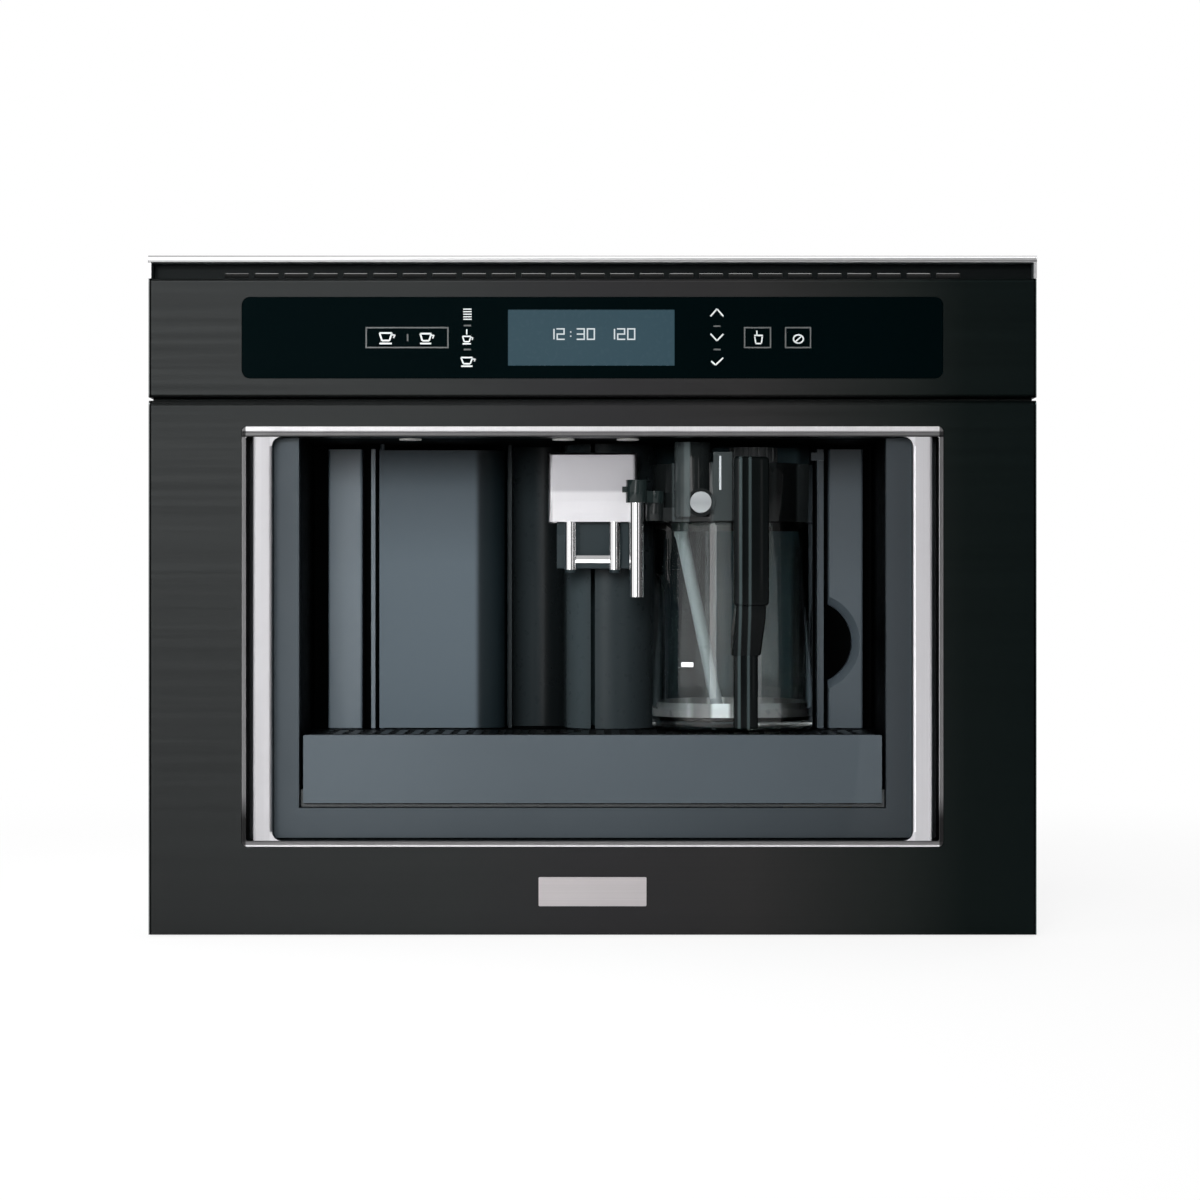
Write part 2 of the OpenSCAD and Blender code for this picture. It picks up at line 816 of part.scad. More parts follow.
module lower_fascia() {
    x = win_w / 2;
    z = [win_z, win_top];
    fold = 8;
    lip_x = front_w / 2 - fascia_gap;
    lip_d = fascia_depth - 4;
    color("dimgray")
        difference() {
            union() {
                folded([0, lower_top], top_bevel, fascia_bevel);
                slab([-lip_x, lip_x], [lip_d, lip_d + fascia_t], [lower_top - e / 2, ctrl_z - clear]);
                along_y([0, fold])
                    round_rect([-x - fascia_t, x + fascia_t], [z[0] - fascia_t, z[1] + fascia_t],
                        win_r + fascia_t);
            }
            along_y([-e, fascia_depth + e])
                round_rect([-x, x], z, win_r);
        }
}

module nameplate() {
    t = 0.8;
    color("gainsboro")
        along_y([-t, 0])
            round_rect([-plate_w / 2, plate_w / 2], [plate_z, plate_z + plate_h], 0.8);
}

module bezel_frame() {
    x = win_w / 2 - fit;
    z = [win_z + fit, win_top - fit];
    in_x = win_w / 2 - lip_w;
    color("silver")
        difference() {
            along_y([-lip_proud, fascia_depth])
                round_rect([-x, x], z, win_r - fit);
            along_y([-lip_proud - e, fascia_depth + e])
                round_rect([-in_x, in_x], band_z, 1.5);
            slab([e - x, x - e], [-lip_proud - e, 0.4 - lip_proud], [win_top - 4.3, win_top - 3.5]);
        }
}

module grip_bars() {
    flare = 6;
    z = [band_z[0] + fit, band_z[1] - fit];
    d = [-lip_proud, bar_t - lip_proud];
    seat = 12;
    color("silver")
        both_sides() {
            along_z(z)
                round_rect([bar_in, bar_out], d, 2);
            along_y(d)
                for (end = [[z[1] - flare, z[1] - flare], [z[0], z[0] + flare]])
                    difference() {
                        rect([bar_in - flare, bar_in + 3], [end[0], end[0] + flare]);
                        translate([bar_in - flare, end[1]])
                            circle(r = flare);
                    }
            for (h = [z[0], z[1] - seat])
                slab([bar_in + 3, bar_out], [d[1] - 2, fascia_depth], [h, h + seat]);
        }
}

module niche_surround() {
    x = surround_in + surround_w;
    color("slategray")
        difference() {
            slab([-x, x], [surround_d, fascia_depth], [surround_z, band_z[1] - fit]);
            slab([-surround_in, surround_in], [surround_d - e, fascia_depth + e], [bed_z, band_z[1] + e]);
        }
}

// Niche liner: ceiling, walls, rear floor and the brewing chamber
module niche_shell() {
    t = liner_t;
    x = niche_x + t;
    pin_r = door_pin_r + clear;
    color("darkslategray")
        difference() {
            union() {
                slab([-x, x], [fascia_depth, recess_d + t], [ceiling_z, ceiling_z + t]);
                slab([-chamber_x - t, chamber_right + t], [recess_d, chamber_d + t],
                    [ceiling_z, ceiling_z + t]);
                both_sides()
                    slab([niche_x, x], [fascia_depth, recess_d + t], [bed_z, ceiling_z + t]);
                slab([-x, x], [floor_d, recess_d + t], [floor_z - t, floor_z]);
                slab([-chamber_x - t, chamber_right + t], [recess_d, chamber_d + t], [floor_z - t, floor_z]);
                slab([-x, x], [recess_d, recess_d + t], [bed_z, floor_z]);
                slab([chamber_right, x], [recess_d, recess_d + t], [floor_z - t, ceiling_z + t]);
                slab([-x, -chamber_x], [panel_back, panel_back + t], [floor_z - t, ceiling_z + t]);
                slab([recess_x, x], [panel_back, panel_back + t], [floor_z - t, ceiling_z + t]);
                slab([recess_x, recess_x + t], [panel_back, recess_d + t], [floor_z - t, ceiling_z + t]);
                slab([-chamber_x - t, -chamber_x], [panel_d + 6, chamber_d + t],
                    [floor_z - t, ceiling_z + t]);
                slab([chamber_right, chamber_right + t], [panel_d + door_r + 0.6, chamber_d + t],
                    [floor_z - t, ceiling_z + t]);
                slab([-chamber_x - t, chamber_right + t], [chamber_d, chamber_d + t],
                    [floor_z - t, ceiling_z + t]);
            }
            for (p = lamp_x)
                post([p, lamp_d], [ceiling_z - e, ceiling_z + t + e], lamp_r - 1.5);
            post([hinge_x, hinge_d], [floor_z - t - e, ceiling_z + t + e], pin_r);
            rod_y([carafe_x, dock_z], [recess_d - e, recess_d + t + e], 5);
            post(grinder_at, [ceiling_z - e, ceiling_z + t + e], 12);
            slab(funnel_x, funnel_d, [ceiling_z - e, ceiling_z + t + e]);
        }
}

module back_strips() {
    z0 = floor_z + fit;
    top = ceiling_z - 3.6;
    color("slategray") {
        along_z([z0, top])
            round_rect(strip_left, [panel_d, panel_back - fit], 1.5);
        along_z([z0, top]) {
            rect([-chamber_x - 4, -chamber_x - 1.2], [panel_d - 2, panel_d + 6 - fit]);
            rect([-chamber_x - 4, -chamber_x - liner_t - fit], [panel_d + 5, panel_back - fit]);
        }
        difference() {
            along_z([z0, top])
                round_rect(strip_right, [panel_d, panel_back - fit], 1.5);
            rod_y(notch_at, [panel_d - e, panel_back + e], notch_r);
            translate([notch_at[0], yd(panel_d - 0.01), notch_at[1]])
                rotate([-90, 0, 0])
                    cylinder(r1 = notch_r + notch_bevel, r2 = notch_r, h = notch_bevel);
        }
        along_z([z0, top])
            rect([recess_x + 1.8, recess_x + 6.4], [panel_d - 2, panel_back - fit]);
        slab([recess_x - 2.5, recess_x + 6.4], [panel_d - 4, panel_d - 1.5], [top - 8, top - 2.4]);
    }
}

// Gloss column with the trough beside it; the groove is for the tongue of the spout
module column_plan() {
    t = column_t;
    difference() {
        translate([column_x, column_d])
            circle(r = column_r);
        translate([column_x, column_d])
            circle(r = column_r - t);
        rect([column_x - column_r - e, column_x + column_r + e], [column_d, column_d + column_r + e]);
    }
    difference() {
        translate([trough_mid, column_d])
            circle(r = trough_r + t);
        translate([trough_mid, column_d])
            circle(r = trough_r);
        rect([trough_mid - trough_r - t - e, trough_mid + trough_r + t + e],
            [column_d - trough_r - t - e, column_d]);
    }
    rect([trough_x[0], trough_x[0] + t], [panel_d + 4, column_d]);
    rect([column_x + column_r - t, column_x + column_r], [column_d, recess_d - fit]);
}

module column_cover() {
    color("black")
        difference() {
            along_z([floor_z + fit, ceiling_z - fit])
                column_plan();
            slab([-groove_w / 2, groove_w / 2], [column_d - column_r - e, column_d],
                [floor_z - e, ceiling_z + e]);
        }
}

module tray_bed() {
    runner = 1.2;
    z = [bed_z + 0.4, pan_z - clear - runner];
    x = niche_x - fit;
    d = [fascia_depth + fit, recess_d - fit];
    color("dimgray") {
        slab([-x, x], d, z);
        both_sides() {
            for (p = [60, 150])
                slab([p, p + 6], d, [z[1] - 0.1, pan_z - clear]);
            slab([x - 2, x], d, [z[1] - 0.1, pan_z + 8]);
            for (q = [40, 130])
                slab([100, 130], [q, q + 2], [housing_z + 1.2, z[0] + 0.1]);
        }
    }
}

module cup_lamps() {
    color("lightyellow")
        for (p = lamp_x) {
            post([p, lamp_d], [ceiling_z - 1, ceiling_z - 0.01], lamp_r);
            post([p, lamp_d], [ceiling_z - 0.5, ceiling_z + liner_t + 8], lamp_r - 1.5 - fit);
        }
}

module steam_connector() {
    color("dimgray") {
        slab([carafe_x - dock_plate[0], carafe_x + dock_plate[0]], [recess_d - 4 - fit, recess_d - fit],
            [dock_z - dock_plate[1], dock_z + dock_plate[1]]);
        difference() {
            union() {
                rod_y([carafe_x, dock_z], [recess_d - dock_reach, recess_d - 3], 4);
                rod_y([carafe_x, dock_z], [recess_d - 14, recess_d + liner_t + 10], 4.8);
            }
            rod_y([carafe_x, dock_z], [recess_d - dock_reach - e, recess_d + liner_t + 11], 1.5);
        }
        for (s = [-1, 1])
            rod_y([carafe_x + s * dock_pin_x, dock_z], [recess_d - dock_reach + 3, recess_d - 3], 3);
    }
}

// Brewing unit: a frame with the brewing cylinder, and the piston that rises into it
module brew_frame() {
    x = [brew_at[0] - brew_half, brew_at[0] + brew_half];
    d = [brew_at[1] - brew_half - 2, chamber_d - fit];
    top = brew_top;
    cyl_z = [cylinder_z, top];
    color("ivory")
        difference() {
            union() {
                slab(x, d, [brew_z, brew_z + 7]);
                slab(x, [d[1] - 6, d[1]], [brew_z, top]);
                for (p = [x[0], x[1] - 5])
                    along_x([p, p + 5])
                        polygon([[d[0], brew_z], [d[1], brew_z], [d[1], top], [d[0] + 30, top],
                            [d[0], brew_z + 40]]);
                post(brew_at, cyl_z, piston_r + 6);
                slab(x, [brew_at[1], d[1]], [cyl_z[0], cyl_z[0] + 6]);
                post(brew_at, [brew_z, brew_z + guide_h], 12);
            }
            post(brew_at, [cyl_z[0] - e, top - 10], piston_r + clear);
            post(brew_at, [brew_z - e, brew_z + guide_h + e], rod_r + clear);
            post(brew_at, [top - 11, top + e], 3);
        }
}

module brew_piston() {
    z = cylinder_z - 2 - piston_travel;
    color("orange") {
        post(brew_at, [z, z + piston_h], piston_r - 1);
        for (h = [z, z + piston_h - 4])
            post(brew_at, [h, h + 4], piston_r);
        post(brew_at, [brew_z - 3, z + 1], rod_r);
    }
}

module grounds_bin() {
    t = 2;
    x = [-chamber_x + 2, chamber_right - 3];
    d = [panel_d + 8, chamber_d - 2];
    z = [floor_z + clear, bin_top];
    color("black")
        difference() {
            along_z(z)
                round_rect(x, d, 6);
            along_z([z[0] + t, z[1] + e])
                round_rect([x[0] + t, x[1] - t], [d[0] + t, d[1] - t], 4);
            along_y([d[0] - e, d[0] + t + e])
                round_rect([brew_at[0] - 18, brew_at[0] + 18], [z[1] - 16, z[1] + 8], 7);
        }
}

module grinder() {
    z = grinder_z;
    color("gray")
        difference() {
            union() {
                along_z([z, z + 10]) {
                    translate(grinder_at)
                        circle(r = grinder_r + grinder_rim);
                    translate(motor_at)
                        circle(r = motor_r + 4);
                    rect([motor_at[0], grinder_at[0]], [grinder_at[1] - 20, grinder_at[1] + 20]);
                }
                post(grinder_at, [z + 9, burr_top], grinder_r);
                post(grinder_at, [z + 30, z + 36], grinder_r + grinder_rim);
                post(motor_at, [z + 9, z + 46], motor_r);
                post(motor_at, [z + 45, z + 50], 6);
            }
            post(grinder_at, [z + 20, burr_top + e], grinder_r - 9);
            post(grinder_at, [z - e, z + 21], 9);
        }
}

// Outline of the hopper across one direction: a neck on the grinder that widens to the mouth
module hopper_outline(mid, a, z, wall) {
    neck = grinder_r - 4 - 2 * wall;
    bend = burr_top + fit + 26;
    polygon([[mid - neck, z[0]], [mid + neck, z[0]], [a[1] - wall, bend], [a[1] - wall, z[1]],
        [a[0] + wall, z[1]], [a[0] + wall, bend]]);
}

module bean_hopper() {
    t = hopper_t;
    z = [burr_top + fit, cover_z];
    color("dimgray")
        difference() {
            intersection() {
                along_y(hopper_d)
                    hopper_outline(grinder_at[0], hopper_x, z, 0);
                along_x(hopper_x)
                    hopper_outline(grinder_at[1], hopper_d, z, 0);
            }
            intersection() {
                along_y([hopper_d[0] + t, hopper_d[1] - t])
                    hopper_outline(grinder_at[0], hopper_x, [z[0] - e, z[1] + e], t);
                along_x([hopper_x[0] + t, hopper_x[1] - t])
                    hopper_outline(grinder_at[1], hopper_d, [z[0] - e, z[1] + e], t);
            }
        }
}

// Straight shaft that flares to its mouth, seen alike from the front and from the side
module shaft_outline(a, z, grow, flare) {
    neck = z[1] - 26;
    polygon([[a[0] - grow, z[0]], [a[1] + grow, z[0]], [a[1] + grow, neck], [a[1] + grow + flare, z[1] - 8],
        [a[1] + grow + flare, z[1]], [a[0] - grow - flare, z[1]], [a[0] - grow - flare, z[1] - 8],
        [a[0] - grow, neck]]);
}

module shaft(grow, flare, z) {
    intersection() {
        along_y([funnel_d[0] - grow - flare, funnel_d[1] + grow + flare])
            shaft_outline(funnel_x, z, grow, flare);
        along_x([funnel_x[0] - grow - flare, funnel_x[1] + grow + flare])
            shaft_outline(funnel_d, z, grow, flare);
    }
}

module ground_funnel() {
    z = [ceiling_z + liner_t + fit, cover_z];
    color("dimgray")
        difference() {
            shaft(funnel_t, funnel_flare - funnel_t, z);
            shaft(0, funnel_flare - funnel_t, [z[0] - e, z[1] + e]);
        }
}

module water_pump() {
    x = pump_x;
    color("goldenrod") {
        rod_x(pump_at, [x[0] + 24, x[1] - 24], pump_r - 2);
        for (p = [x[0] + 22, x[1] - 25])
            slab([p, p + 3], [pump_at[0] - pump_r, pump_at[0] + pump_r],
                [pump_at[1] - pump_r, pump_at[1] + pump_r]);
        rod_x(pump_at, [x[0] + 6, x[1] - 6], 9);
        rod_x(pump_at, [x[0], x[1]], 4);
        for (p = [x[0] + 14, x[1] - 22])
            slab([p, p + 8], [pump_at[0] - 12, pump_at[0] + 12], [pump_at[1] - 15, pump_at[1] + 10]);
    }
}

module boiler(at, z, r) {
    post(at, z, r);
    post(at, [z[0] + 12, z[0] + 16], r + 4);
    post(at, [z[1] - 16, z[1] - 12], r + 4);
    post(at, [z[0] - 8 + fit, z[0] + 0.1], 10);
    post(at, [z[1] - 0.1, z[1] + 8], 5);
    for (s = [-1, 1])
        post([at[0] + s * (r - 9), at[1]], [z[1] - 0.1, z[1] + 5], 3.5);
    rod_y([at[0], z[0] + 30], [at[1] - r - 8, at[1] - r + 2], 4);
}

module coffee_boiler() {
    color("silver")
        boiler(coffee_at, coffee_z, boiler_r);
}

module steam_boiler() {
    color("silver")
        boiler(steam_at, steam_z, steam_r);
}

module power_board() {
    t = 1.6;
    x = board_x;
    color("darkgreen") {
        slab([x, x + t], board_d, board_z);
        for (d = [board_d[0] + 8, board_d[1] - 8], z = [board_z[0] + 8, board_z[1] - 8])
            rod_x([d, z], [-inner_x + fit, x + 0.1], 4);
        slab([x + t - 0.1, x + 34], [board_d[0] + 15, board_d[0] + 60], [board_z[0] + 20, board_z[0] + 65]);
        for (n = [0 : 3])
            slab([x + t - 0.1, x + 18], [board_d[0] + 80, board_d[0] + 96],
                [board_z[0] + 20 + n * 22, board_z[0] + 36 + n * 22]);
        for (n = [0 : 2])
            rod_x([board_d[0] + 30 + n * 26, board_z[1] - 40], [x + t - 0.1, x + 28], 9);
        for (n = [0 : 5])
            slab([x + t - 0.1, x + 14], [board_d[0] + 20 + n * 22, board_d[0] + 34 + n * 22],
                [board_z[1] - 16, board_z[1] - 6]);
    }
}

// Hoses, each one tube carried along a smooth curve through its own points
function unit(v) = v / norm(v);
function curve_at(p, q, r, s, t) = 0.5 * (2 * q + (r - p) * t + (2 * p - 5 * q + 4 * r - s) * t * t
    + (3 * q - p - 3 * r + s) * t * t * t);
function curve(p, n) = [for (i = [0 : len(p) - 2], k = [0 : n - 1])
        curve_at(p[max(i - 1, 0)], p[i], p[i + 1], p[min(i + 2, len(p) - 1)], k / n), p[len(p) - 1]];
function tangents(p, route) = concat([unit(route[1] - route[0])],
    [for (i = [1 : len(p) - 2]) unit(p[i + 1] - p[i - 1])],
    [unit(route[len(route) - 1] - route[len(route) - 2])]);
function square_to(n, t) = unit(n - (n * t) * t);
function carried(t, i, n) = i == len(t) ? [] : let(m = square_to(n, t[i])) concat([m], carried(t, i + 1, m));

module hose(route) {
    p = curve(route, hose_steps);
    t = tangents(p, route);
    n = carried(t, 0, abs(t[0][2]) > 0.9 ? [1, 0, 0] : [0, 0, 1]);
    s = hose_sides;
    last = (len(p) - 1) * s;
    points = [for (i = [0 : len(p) - 1], k = [0 : s - 1])
            p[i] + hose_r * (cos(360 * k / s) * n[i] + sin(360 * k / s) * cross(t[i], n[i]))];
    rings = [for (i = [0 : len(p) - 2], k = [0 : s - 1], h = [0, 1])
            let(a = i * s + k, b = i * s + (k + 1) % s)
            h == 0 ? [a, a + s, b + s] : [a, b + s, b]];
    foot = [for (k = [1 : s - 2]) [0, k, k + 1]];
    head = [for (k = [1 : s - 2]) [last, last + k + 1, last + k]];
    polyhedron(points = points, faces = concat(rings, foot, head));
}

function at(x, d, z) = [x, yd(d), z];

// Route from one end to the other: each end has a straight run in its own direction
function route(from, out, to, into, via = []) = concat([from, from + hose_run * out], via,
    [to + hose_run * into, to]);

// Tank to pump, pump to coffee boiler, steam to the carafe, coffee boiler to the brewing cylinder
tank_end = at(valve_at[0], valve_at[1], tank_z - 12);
pump_ends = [at(pump_x[0] - clear, pump_at[0], pump_at[1]), at(pump_x[1] + clear, pump_at[0], pump_at[1])];
boiler_side = coffee_at[0] + boiler_r + hose_run;
tank_hose = route(tank_end, [0, 0, -1], pump_ends[1], [1, 0, 0],
    [(tank_end + pump_ends[1]) / 2 + hose_run * [1, -1, 0]]);
coffee_hose = route(pump_ends[0], [-1, 0, 0],
    at(coffee_at[0], coffee_at[1], coffee_z[1] + 8 + clear), [0, 0, 1],
    [at(boiler_side, pump_at[0], coffee_z[0] - hose_run),
        at(boiler_side, pump_at[0] - hose_run / 2, coffee_z[1])]);
steam_hose = route(at(steam_at[0], steam_at[1], steam_z[1] + 8 + clear), [0, 0, 1],
    at(carafe_x, recess_d + liner_t + 10 + clear, dock_z), [0, 1, 0]);
brew_hose = route(at(coffee_at[0], coffee_at[1] - boiler_r - 8 - clear, coffee_z[0] + 30), [0, -1, 0],
    at(chamber_right + liner_t + clear, brew_at[1] + 10, ceiling_z - 34), [1, 0, 0]);

module hoses() {
    color("whitesmoke") {
        hose(tank_hose);
        hose(coffee_hose);
        hose(steam_hose);
        hose(brew_hose);
    }
}

module mains_inlet() {
    x = inlet_at[0];
    z = inlet_at[1];
    color("black") {
        difference() {
            union() {
                along_y([back_d, rear_d])
                    round_rect([x - 25, x + 25], [z - 12, z + 12], 4);
                slab([x - 13.5, x + 13.5], [back_d - 20, back_d + 0.1], [z - 9.7, z + 9.7]);
            }
            along_y([back_d - 17, rear_d + e])
                cut_rect([x - 12, x + 12], [z - 8, z + 8], [0.01, 0.01, 3, 3]);
            for (s = [-1, 1])
                rod_y([x + s * 20, z], [back_d - e, rear_d + e], 1.7);
        }
        for (p = [-7, 7])
            slab([x + p - 2, x + p + 2], [back_d - 18, back_d - 4], [z - 1, z + 1]);
        slab([x - 2, x + 2], [back_d - 18, back_d - 2], [z + 3, z + 5]);
        difference() {
            union() {
                along_y([back_d, back_d + 1.5])
                    round_rect([rocker_at[0] - 12, rocker_at[0] + 12],
                        [rocker_at[1] - 16, rocker_at[1] + 16], 2);
                slab([rocker_at[0] - 9.5, rocker_at[0] + 9.5], [back_d - 16, back_d + 0.1],
                    [rocker_at[1] - 13.5, rocker_at[1] + 13.5]);
            }
            slab([rocker_at[0] - 8, rocker_at[0] + 8], [back_d - 12, back_d + 2],
                [rocker_at[1] - 12, rocker_at[1] + 12]);
        }
    }
}

module switch_rocker() {
    pivot_d = back_d - 5;
    color("black") {
        rod_x([pivot_d, rocker_at[1]], [rocker_at[0] - 8 + clear, rocker_at[0] + 8 - clear], 2.4);
        translate([rocker_at[0], yd(pivot_d), rocker_at[1]])
            rotate([rocker_tilt, 0, 0])
                rotate([90, 0, 90])
                    linear_extrude(height = 14, center = true)
                        polygon([[-3, -5], [-3, 5], [3.5, 10.6], [6.4, 10.6], [5.2, 0], [6.4, -10.6],
                            [3.5, -10.6]]);
    }
}

module cover_screws() {
    color("silver")
        both_sides()
            for (h = screw_z) {
                rod_y([inner_x - 6, h], [back_d, back_d + 1.8], 3.2);
                rod_y([inner_x - 6, h], [back_d - 6, back_d + 0.1], 1.5);
            }
}

// Service door: a flat panel that curves back at its opening edge, with a pin at each end
module service_door() {
    bend = [door_x[1] - door_r, panel_d + door_r];
    color("darkslategray") {
        along_z(door_z) {
            rect([door_x[0], bend[0]], [panel_d, panel_d + door_t]);
            intersection() {
                difference() {
                    translate(bend)
                        circle(r = door_r);
                    translate(bend)
                        circle(r = door_r - door_t + 1);
                }
                rect([bend[0], bend[0] + door_r + e], [panel_d - e, bend[1]]);
            }
        }
        post([hinge_x, hinge_d], [floor_z - liner_t + clear, ceiling_z + liner_t], door_pin_r);
    }
}

// Drip tray
module drip_pan() {
    z = [pan_z, grille_z - grille_t - clear];
    d = [tray_d + tray_front_t, pan_d];
    color("dimgray")
        union() {
            difference() {
                along_z(z)
                    round_rect([-pan_x, pan_x], d, pan_t + 1);
                slab([pan_t - pan_x, pan_x - pan_t], [d[0] + pan_t, d[1] - pan_t], [z[0] + pan_t, z[1] + e]);
            }
            post(float_at, [z[0] + 1, z[0] + float_seat], 6);
            post(float_at, [z[0] + 1, z[1] - 6], float_pin);
        }
}

module tray_float() {
    color("red")
        difference() {
            union() {
                post(float_at, [float_z, float_z + 8], float_r);
                post(float_at, [float_z + 7, grille_z - 1], flag_r);
            }
            post(float_at, [float_z - e, grille_z - 3], float_pin + clear);
        }
}

module drip_front() {
    color("slategray")
        along_y([tray_d, tray_d + tray_front_t - fit])
            round_rect([-tray_x, tray_x], [tray_z, tray_top], 1);
}

module drip_grille() {
    x = pan_x - 1;
    d = [tray_d + tray_front_t + 0.5, floor_d - 1.5];
    rows = 2;
    rim = 5;
    row_len = (d[1] - d[0] - rim * (rows + 1)) / rows;
    cols = floor((x - rim) / slot_pitch);
    pitch_d = row_len + rim;
    color("dimgray")
        difference() {
            slab([-x, x], d, [grille_z - grille_t, grille_z]);
            for (n = [-cols : cols], r = [0 : rows - 1])
                if (r > 0 || abs(n * slot_pitch - float_at[0]) > 12)
                    slab([n * slot_pitch - slot_w / 2, n * slot_pitch + slot_w / 2],
                        [d[0] + rim + r * pitch_d, d[0] + r * pitch_d + pitch_d],
                        [grille_z - grille_t - e, grille_z + e]);
            post(float_at, [grille_z - grille_t - e, grille_z + e], flag_r + 2 * clear);
        }
}

// Coffee spout
module spout_block() {
    x = spout_w / 2;
    z = [spout_z, spout_z + spout_h];
    d = [spout_d, spout_d + spout_depth];
    carriage = [column_d - 19, column_d - 13];
    crease = spout_z + 0.3 * spout_h;
    color("gainsboro") {
        difference() {
            intersection() {
                along_z(z)
                    round_rect([-x, x], d, 3);
                along_x([-x, x])
                    polygon([[d[0] + 0.8, z[0]], [d[1], z[0]], [d[1], z[1]], [d[0] + 1.5, z[1]],
                        [d[0], z[1] - 1.5], [d[0], crease]]);
            }
            slab([spout_wall - x, x - spout_wall], [d[0] + spout_wall, d[1] - spout_wall],
                [z[0] - e, z[1] - 3]);
        }
        slab([-tongue_w / 2, tongue_w / 2], [d[1] - 1, carriage[0] + 1], tongue_z);
        slab([-8, 8], carriage, tongue_z);
    }
}

module spout_core() {
    x = spout_w / 2 - 6;
    z = [spout_z - nozzle_len + 1, spout_z + spout_h - 3 - fit];
    d = [nozzle_d + 1, spout_d + spout_depth - spout_wall - fit];
    color("black")
        difference() {
            union() {
                slab([-x, x], d, z);
                for (s = [-1, 1])
                    post([s * nozzle_x, nozzle_d], [nozzle_z - 2, nozzle_z - 0.01], nozzle_r - 0.7);
            }
            for (s = [-1, 1]) {
                post([s * nozzle_x, nozzle_d], [nozzle_z, spout_z + 6 + fit], nozzle_r + fit);
                post([s * nozzle_x, nozzle_d], [nozzle_z - 3, nozzle_z + e], nozzle_bore);
            }
            slab([-9.7, 9.7], [d[0] - e, d[0] + 3], [nozzle_z + 5, spout_z - e]);
        }
}

module spout_nozzles() {
    bridge_z = nozzle_z + 6.3;
    color("silver")
        difference() {
            union() {
                for (s = [-1, 1])
                    post([s * nozzle_x, nozzle_d], [nozzle_z, spout_z + 6], nozzle_r);
                slab([-nozzle_x, nozzle_x], [nozzle_d - 2, nozzle_d + 0.8], [bridge_z, bridge_z + 3.5]);
            }
            for (s = [-1, 1])
                post([s * nozzle_x, nozzle_d], [nozzle_z - e, spout_z + 6 + e], nozzle_bore);
        }
}

// Carafe: an oval with round ends
module oval(r) {
    for (s = [-1, 1])
        translate([carafe_x + s * carafe_flat, carafe_d])
            circle(r = r);
    rect([carafe_x - carafe_flat, carafe_x + carafe_flat], [carafe_d - r, carafe_d + r]);
}

module carafe_glass() {
    foot = 3;
    top = carafe_z + carafe_h;
    color("lightblue")
        difference() {
            union() {
                along_z([carafe_z + foot, top])
                    oval(carafe_r);
                along_z([carafe_z, carafe_z + foot + 0.1])
                    oval(carafe_r - 3);
            }
            along_z([carafe_z + 5, top + e])
                oval(carafe_r - carafe_t);
        }
}

module carafe_lid() {
    z = [lid_z, lid_top];
    dock_d = carafe_d + carafe_r;
    boss_r = button_r + 2.3;
    color("black")
        difference() {
            union() {
                difference() {
                    along_z(z)
                        oval(carafe_r);
                    along_z([z[0] - e, z[1] - 3])
                        oval(carafe_r - lid_t);
                }
                along_z([z[0] - 7, z[0] + 2])
                    difference() {
                        oval(carafe_r - carafe_t - 0.5);
                        oval(carafe_r - carafe_t - 2.5);
                    }
                along_z([z[0] + 0.5, z[0] + 2])
                    difference() {
                        oval(carafe_r - 0.5);
                        oval(carafe_r - carafe_t - 2.5);
                    }
                slab([carafe_x - 34, carafe_x + 34], [dock_d - 24, dock_d - 1], [dock_z - 9, z[1] - 2]);
                post(tower, [z[0] + 3, tower_top], tower_r);
                rod_y(button_at, [button_d + 2.5, tower[1] + 4], boss_r);
                slab([tower[0] + tower_r + 1.5, tower[0] + tower_r + 14.5], [carafe_d - 55, carafe_d - 30],
                    [z[0] + 0.3, tower_top - 6.8]);
                post(milk_pivot, [milk_z - 12, milk_z], 6.5);
                slab([milk_pivot[0], milk_pivot[0] + 16], [milk_pivot[1] - 3.5, milk_pivot[1] + 8],
                    [milk_z - 12, milk_z - 3]);
                post(intake_at, [z[0] - 1.5, z[1] - 2], 6);
                post(dial_at, [z[1] - 9, z[1] - 1], 7);
            }
            rod_y([carafe_x, dock_z], [dock_d - 14, dock_d + e], 4 + clear);
            for (s = [-1, 1])
                rod_y([carafe_x + s * dock_pin_x, dock_z], [dock_d - 11, dock_d + e], 3 + clear);
            rod_y(button_at, [button_d + 1, button_d + button_head + button_travel + 1], button_r + clear);
            rod_y(button_at, [button_d + 5, button_d + 17], 4 + clear);
            post(milk_pivot, [milk_z - 10, milk_z + e], 3 + clear);
            post(dial_at, [z[1] - 7, z[1] + e], 3 + clear);
        }
}

